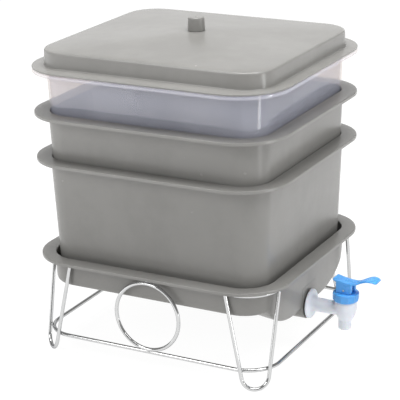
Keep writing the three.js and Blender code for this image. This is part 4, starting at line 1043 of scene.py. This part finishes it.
# %% Bend and weld the wires
weld_spots = []
for name, height in (("top", TOP_RING), ("lower", LOWER_RING)):
    ring = [(x, y, height) for x, y in rounded_ring(RING_HALF_X, RING_HALF_Y, RING_CORNER, RING_STEPS)]
    bend_wire(name + "_ring_wire", f"stand_{name}_ring", ring, True)
for name, sign in (("front", -1), ("back", 1)):
    circle = [
        (CIRCLE_RADIUS * math.cos(t), sign * CIRCLE_Y, CIRCLE_Z + CIRCLE_RADIUS * math.sin(t))
        for t in full_turn(CIRCLE_STEPS)
    ]
    bend_wire(name + "_circle_wire", "circle_" + name, circle, True)
    for height in (TOP_RING - WELD_HEIGHT, LOWER_RING + WELD_HEIGHT):
        weld_spots.append((0, sign * (RING_HALF_Y + CIRCLE_STAND / 2), height))
for sign_x, sign_y in ((1, -1), (-1, -1), (-1, 1), (1, 1)):
    name = f"{'back' if sign_y > 0 else 'front'}_{'right' if sign_x > 0 else 'left'}"
    leg, spots = leg_places(sign_x, sign_y)
    bend_wire("hairpin_" + name, "leg_" + name, leg, False)
    weld_spots += spots
welds = plain_object("weld_beads", in_metres(weld_spots), [])
beads.run(welds, {"Bead radius": BEAD_RADIUS * MM, "Lumps": BEAD_LUMPS * MM}, bright_wire, 60)
settle(welds, "stand")

# %% [markdown]
# ## The tap
#
# The tap is a small moulding of turned shapes that flow into each other: a flange and pipe that lie
# level, an upright bulb, and a spout. Booleans would leave hard creases between them. Here the
# closed shapes are put together, a voxel Remesh wraps one skin round them and a Smooth rounds the
# creases into fillets. Bores are cut afterwards, so that their edges stay crisp.

# %% Helpers for the tap
TAP_X = 207.5
SPOUT_X = TAP_X - 1.2
FLANGE_BACK = 158.1
SPOUT_LOW, SEAT, NECK_FOOT, NECK_TOP = 39.1, 56.6, 78.0, 83.3


def turned(rows, sides=64, level=False, centre=TAP_X, steps=4, bored=False):
    """A closed turned shape on an upright axis, or on the level axis of the inlet.

    A row is a radius, a place along the axis and how far back its corner's curve starts.
    """
    rings = turned_rows(soften(rows, steps), sides, (0, 0) if level else (centre, 0))
    if level:
        rings = [[(z, y, TAP_Z + x) for x, y, z in ring] for ring in rings]
    return skin(rings, looped=bored)


def soft_union(name, parts, voxel, rounds, finish):
    """Wraps one smooth skin round several closed shapes that overlap."""
    made = several(name, parts, finish)
    wrap = made.modifiers.new("wrap", "REMESH")
    wrap.mode, wrap.voxel_size = "VOXEL", voxel * MM
    ease = made.modifiers.new("ease", "SMOOTH")
    ease.factor, ease.iterations = 0.5, rounds
    bake_modifiers(made, finish, 80)
    return made


# %% Make the tap's outer shapes
pipe = turned([
    (0, FLANGE_BACK, 0),
    (19.5, FLANGE_BACK, 0.5),
    (19.5, FLANGE_BACK + 2.0, 0.9),
    (17.0, FLANGE_BACK + 3.5, 1.5),
    (11.2, FLANGE_BACK + 4.8, 2.5),
    (9.2, FLANGE_BACK + 9.5, 3.0),
    (8.9, TAP_X - 6, 0),
    (0, TAP_X - 6, 0),
], 96, level=True)
bulb = turned([
    (0, SPOUT_LOW + 11, 0),
    (8.3, SPOUT_LOW + 12.6, 1.0),
    (11.8, SPOUT_LOW + 18.6, 6.0),
    (14.35, SPOUT_LOW + 27.5, 6.0),
    (14.35, NECK_FOOT - 1.8, 0.3),
    (13.8, NECK_FOOT - 1.6, 0.3),
    (13.8, NECK_FOOT, 0.4),
    (13.0, NECK_FOOT, 0.2),
    (13.0, NECK_TOP, 0.4),
    (0, NECK_TOP, 0),
], 96)
spout = turned([
    (0, SPOUT_LOW, 0),
    (7.4, SPOUT_LOW, 0.6),
    (8.35, SPOUT_LOW + 1.4, 1.2),
    (8.35, SEAT, 0),
    (0, SEAT, 0),
], 96, centre=SPOUT_X)
tap = soft_union("tap_moulding", [pipe, bulb, spout], 0.45, 6, white_plastic)
print("the wrapped tap has", len(tap.data.polygons), "faces")

# %% Add the tap's thread and cut its bores
THREAD_CORE, THREAD_CREST, THREAD_END, THREAD_PITCH, THREAD_TURNS = 7.3, 8.0, 141.4, 1.8, 9
thread_rows = [(0, THREAD_END, 0), (THREAD_CORE, THREAD_END, 0.2)]
for number in range(THREAD_TURNS):
    start = THREAD_END + 0.6 + number * THREAD_PITCH
    thread_rows += [
        (THREAD_CORE, start, 0.2),
        (THREAD_CREST, start + 0.6, 0.15),
        (THREAD_CREST, start + 0.9, 0.15),
        (THREAD_CORE, start + 1.5, 0.2),
    ]
thread_rows += [(THREAD_CORE, FLANGE_BACK + 1, 0.2), (0, FLANGE_BACK + 1, 0)]
thread = several("thread", [turned(thread_rows, 64, level=True, steps=2)], white_plastic)
chamber = turned([
    (0, SEAT, 0),
    (9.5, SEAT, 0.6),
    (9.5, NECK_TOP - 0.5, 0.3),
    (10.2, NECK_TOP + 1, 0),
    (0, NECK_TOP + 1, 0),
], 64)
outlet = turned([
    (0, SPOUT_LOW - 1, 0),
    (6.2, SPOUT_LOW - 1, 0),
    (5.2, SPOUT_LOW + 0.6, 0.4),
    (5.2, SEAT + 1, 0),
    (0, SEAT + 1, 0),
], 64, centre=SPOUT_X)
inlet = turned([(0, 140, 0), (5, 140, 0), (5, TAP_X, 0), (0, TAP_X, 0)], 48, level=True)
combine(tap, [thread], "UNION", white_plastic, 60)
bores = [several(f"bore_{i}", [bore], white_plastic) for i, bore in enumerate((chamber, outlet, inlet))]
combine(tap, bores, "DIFFERENCE", white_plastic, 60)
settle(tap, "stand", "tap_body")

# %% Make the blue collar with its finger scallops
COLLAR_LOW, COLLAR_TOP, COLLAR_BORE, STEM_BORE = NECK_FOOT + GAP, 89.9, 13.3, 4.8
SCALLOPS, SCALLOP_DEPTH, SCALLOP_ROUND = 12, 0.7, 0.7


def scallop(angle):
    """From 0 on a rib to 1 in the middle of the hollow beside it."""
    return abs(math.sin(angle * SCALLOPS / 2)) ** SCALLOP_ROUND


# Radius, height, share of the scallops' depth, and how far back the corner's curve starts
collar_rows = [
    (COLLAR_BORE, 82, 0, 0),
    (COLLAR_BORE, 86.9, 0, 0.4),
    (STEM_BORE, 86.9, 0, 0.3),
    (STEM_BORE, COLLAR_TOP, 0, 0.5),
    (17.0, COLLAR_TOP, 0, 1.9),
    (17.0, COLLAR_TOP - 3.2, 1, 1.0),
    (17.0, COLLAR_LOW + 3.2, 1, 1.2),
    (16.4, COLLAR_LOW + 1.2, 0.8, 1.0),
    (14.8, COLLAR_LOW, 0, 0.6),
    (COLLAR_BORE, COLLAR_LOW, 0, 0.3),
    (COLLAR_BORE, 81, 0, 0),
]
collar_rings = []
for radius, height, share in soften(collar_rows, 5):
    angles = full_turn(240)
    radii = [radius - SCALLOP_DEPTH * share * scallop(t) for t in angles]
    collar_rings.append([(TAP_X + r * math.cos(t), r * math.sin(t), height) for r, t in zip(radii, angles)])
collar = make_piece("grip_collar", *skin(collar_rings, looped=True), blue_plastic, 40)
settle(collar, "stand", "tap_collar")

# %% Make the lever and its pin
CHEEK_HALF, LEVER_HALF, SLOT_HALF, LEVER_LOW, LEVER_TOP = 10.3, 9.0, 4.0, 90.2, 104.8
PIN_Z, PIN_RADIUS, PIN_HALF, PIN_HOLE_RADIUS = 94.2, 1.3, 9.2, 1.6
# Each row is a place along the strip, its half width, the height of its top and its thickness
STRIP = (
    (193.25, 9.0, 109.4, 3.6), (197, 9.1, 108.6, 4.4), (202, 9.0, 107.4, 4.6), (211, 9.0, 105.9, 4.6),
    (218.2, 8.2, 105.6, 4.2), (224, 6.8, 106.6, 3.4), (229.5, 6.4, 108.9, 2.9), (235, 8.6, 111.4, 2.7),
    (241, 10.6, 113.1, 2.5), (246, 10.8, 112.9, 2.3), (250, 9.6, 111.7, 2.0), (251.6, 7.6, 111.0, 1.6),
)


def spline(rows, steps):
    """Rows with the points of a smooth curve through them put between."""
    rows = np.array(rows, float)
    ends = np.vstack([2 * rows[0] - rows[1], rows, 2 * rows[-1] - rows[-2]])
    smooth = []
    for a, b, c, d in zip(ends, ends[1:], ends[2:], ends[3:]):
        for t in np.linspace(0, 1, steps, endpoint=False):
            square, cube = (2 * a - 5 * b + 4 * c - d) * t**2, (3 * b - a - 3 * c + d) * t**3
            smooth.append(0.5 * (2 * b + (c - a) * t + square + cube))
    return [*smooth, rows[-1]]


def squared(wave, power):
    """A sine or cosine made more like a square wave, by a power below 1."""
    return math.copysign(abs(wave) ** power, wave)


def strip_ring(x, half, top, thick):
    """A pillow-shaped section across the strip."""
    sides = [(squared(math.cos(t), 0.35), squared(math.sin(t), 0.6)) for t in full_turn(48)]
    return [(x, half * side, top - thick / 2 + thick / 2 * rise) for side, rise in sides]


strip = skin([strip_ring(*row) for row in spline(STRIP, 5)])
cheek_outline = soften([
    (TAP_X, LEVER_LOW, 0),
    (TAP_X + CHEEK_HALF, LEVER_LOW, 3.2),
    (TAP_X + CHEEK_HALF, LEVER_TOP, 0.5),
    (TAP_X - CHEEK_HALF, LEVER_TOP, 0.5),
    (TAP_X - CHEEK_HALF, LEVER_LOW, 3.2),
    (TAP_X - 0.5, LEVER_LOW, 0),
], 5)
cheeks = [
    skin([[(x, y, z) for x, z in cheek_outline] for y in span])
    for span in ((-LEVER_HALF, -SLOT_HALF), (SLOT_HALF, LEVER_HALF))
]
web = block((TAP_X - CHEEK_HALF, -5, LEVER_LOW + 13.1), (TAP_X + CHEEK_HALF, 5, LEVER_TOP + 0.6))
lever = soft_union("tap_handle", [strip, web, *cheeks], 0.3, 4, blue_plastic)
pin_hole = skin([
    [
        (TAP_X + PIN_HOLE_RADIUS * math.cos(t), y, PIN_Z + PIN_HOLE_RADIUS * math.sin(t))
        for t in full_turn(32)
    ]
    for y in (-12, 12)
])
combine(lever, [several("pin_hole", [pin_hole], blue_plastic)], "DIFFERENCE", blue_plastic, 60)
settle(lever, "lever", "tap_lever")
pin_rows = soften([
    (0, -PIN_HALF, 0), (PIN_RADIUS, -PIN_HALF, 0.35), (PIN_RADIUS, PIN_HALF, 0.35), (0, PIN_HALF, 0),
], 4)
pin_rings = [[(TAP_X + x, z, PIN_Z + y) for x, y, z in ring] for ring in turned_rows(pin_rows, 32)]
settle(make_piece("hinge_pin", *skin(pin_rings), plain_steel), "stem", "lever_pin")

# %% [markdown]
# ## The small parts that seal and hold
#
# Washers, nut, gland, plug and stem are mostly hidden, but they show when the part is taken to
# pieces. They are the same turned shapes with small softened edges.

# %% Make the washers and the nut
NUT_BACK, NUT_RADIUS, SIXTH = 143.9, 15, math.pi / 3
NUT_ROWS = (
    (8.3, 3), (8.3, 0.5), (8.8, 0), (13.2, 0), (NUT_RADIUS, 1.1),
    (NUT_RADIUS, 5.9), (13.2, 7), (8.8, 7), (8.3, 6.5), (8.3, 4),
)


def washer(name, node, radius, low, thick):
    """A rubber ring on the inlet's pipe, from its middle round its four soft corners."""
    high = low + thick
    middle = (low + high) / 2
    ring = turned([
        (PIPE_BORE, middle, 0), (PIPE_BORE, low, 0.4), (radius, low, 0.4),
        (radius, high, 0.4), (PIPE_BORE, high, 0.4), (PIPE_BORE, middle + 0.1, 0),
    ], level=True, bored=True)
    settle(make_piece(name, *ring, black_rubber), "stand", node)


def within_hexagon(radius, angle):
    """A radius, or the distance to the hexagon's side where that is less."""
    side = NUT_RADIUS * math.cos(SIXTH / 2) / math.cos((angle + SIXTH / 2) % SIXTH - SIXTH / 2)
    return min(radius, side)


washer("outer_washer", "tap_outer_washer", 17, 156.3, 1.5)
washer("inner_washer", "tap_inner_washer", 14, 151.2, 2)
nut_rings = []
for radius, along in NUT_ROWS:
    reach = [(within_hexagon(radius, t), t) for t in full_turn(96)]
    nut_rings.append([(NUT_BACK + along, r * math.cos(t), TAP_Z + r * math.sin(t)) for r, t in reach])
nut = make_piece("back_nut", *skin(nut_rings, looped=True), white_plastic, 25)
settle(nut, "stand", "tap_nut")

# %% Make the gland, the plug and the stem
TONGUE = ((TAP_X - 4.5, -3.5, 90.2), (TAP_X + 4.5, 3.5, 98.4))
TONGUE_EDGE = 0.6
gland = turned([
    (3.3, 82, 0), (3.3, 80.3, 0.3), (9.2, 80.3, 0.5), (9.2, 83.6, 0.2),
    (12.7, 83.6, 0.3), (12.7, 86.6, 0.4), (3.3, 86.6, 0.3), (3.3, 82.1, 0),
], bored=True)
settle(make_piece("valve_gland", *gland, white_plastic), "stand", "stem_gland")
plug = turned([
    (0, 56.9, 0), (7.2, 56.9, 0.8), (7.5, 58.5, 0.5), (7.5, 63.0, 0.6),
    (3.3, 63.0, 0.3), (3.3, 59.0, 0.2), (0, 59.0, 0),
])
settle(make_piece("rubber_plug", *plug, black_rubber), "stem", "valve_plug")
rod = turned([
    (0, 59.3, 0), (3, 59.3, 0.5), (3, 63.3, 0.2), (5.5, 63.3, 0.3),
    (5.5, 64.5, 0.3), (3, 64.5, 0.3), (3, 91.7, 0.2), (0, 91.7, 0),
], 48)
stem = several("valve_rod", [rod], white_plastic)
tongue = several("tongue", [block(*TONGUE)], white_plastic)
edge = tongue.modifiers.new("edge", "BEVEL")
edge.width, edge.segments, edge.limit_method = TONGUE_EDGE * MM, 3, "ANGLE"
bake_modifiers(tongue, white_plastic, 40)
combine(stem, [tongue], "UNION", white_plastic, 40)
combine(stem, [several("pin_hole", [pin_hole], white_plastic)], "DIFFERENCE", white_plastic, 40)
settle(stem, "stem", "valve_stem")

# %% Make the screw of the knob
SCREW_HEAD, CROSS_DEPTH = 1.6, 0.9
screw_low = LID_PEAK - LID_WALL - SCREW_HEAD - GAP
screw_rows = soften([
    (0, screw_low, 0), (3.4, screw_low, 0.4), (4.2, screw_low + 0.8, 0.5),
    (4.2, screw_low + SCREW_HEAD, 0.2), (2.0, screw_low + SCREW_HEAD, 0.2),
    (2.0, screw_low + 12.2, 0.5), (0, screw_low + 13.0, 0),
])
screw = several("screw", [skin(turned_rows(screw_rows, 48))], plain_steel)
cross = [
    several(f"cross_{i}", [block((-x, -y, screw_low - 1), (x, y, screw_low + CROSS_DEPTH))], plain_steel)
    for i, (x, y) in enumerate(((2.2, 0.45), (0.45, 2.2)))
]
combine(screw, cross, "DIFFERENCE", plain_steel, 40)
settle(screw, "cover", "knob_screw")

# %% [markdown]
# ## The return spring
#
# A small steel spring under the gland pushes the stem and its plug down. It is a wire on a helix
# whose coils lie closer together at the ends, so the tree that swept the stand's wires can make it
# too. When the lever lifts the stem, the spring gets shorter from below, while its top stays on the
# gland. Here it rides on the stem as one rigid coil, with a mesh of its own.

# %% Coil the spring and put it on the stem
SPRING_WIRE, SPRING_REACH, SPRING_CURLS, CURL_STEPS, SPRING_SIDES = 0.6, 4.6, 5, 32, 12
CLOSER_ENDS = 0.08
spring_low, spring_high = (corner[2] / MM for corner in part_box("valve_spring"))
coil = []
for step in range(SPRING_CURLS * CURL_STEPS + 1):
    share = step / (SPRING_CURLS * CURL_STEPS)
    turn = share * SPRING_CURLS * 2 * math.pi
    rise = share - CLOSER_ENDS * math.sin(2 * math.pi * share)
    coil.append((
        TAP_X + SPRING_REACH * math.cos(turn),
        SPRING_REACH * math.sin(turn),
        spring_low + SPRING_WIRE + (spring_high - spring_low - 2 * SPRING_WIRE) * rise,
    ))
spring = sweep_along("return_spring", coil, False, SPRING_WIRE, SPRING_SIDES, plain_steel)
settle(spring, "stem", "valve_spring")
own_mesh(spring)
print("spring from", round(spring_low, 2), "to", round(spring_high, 2), "mm")
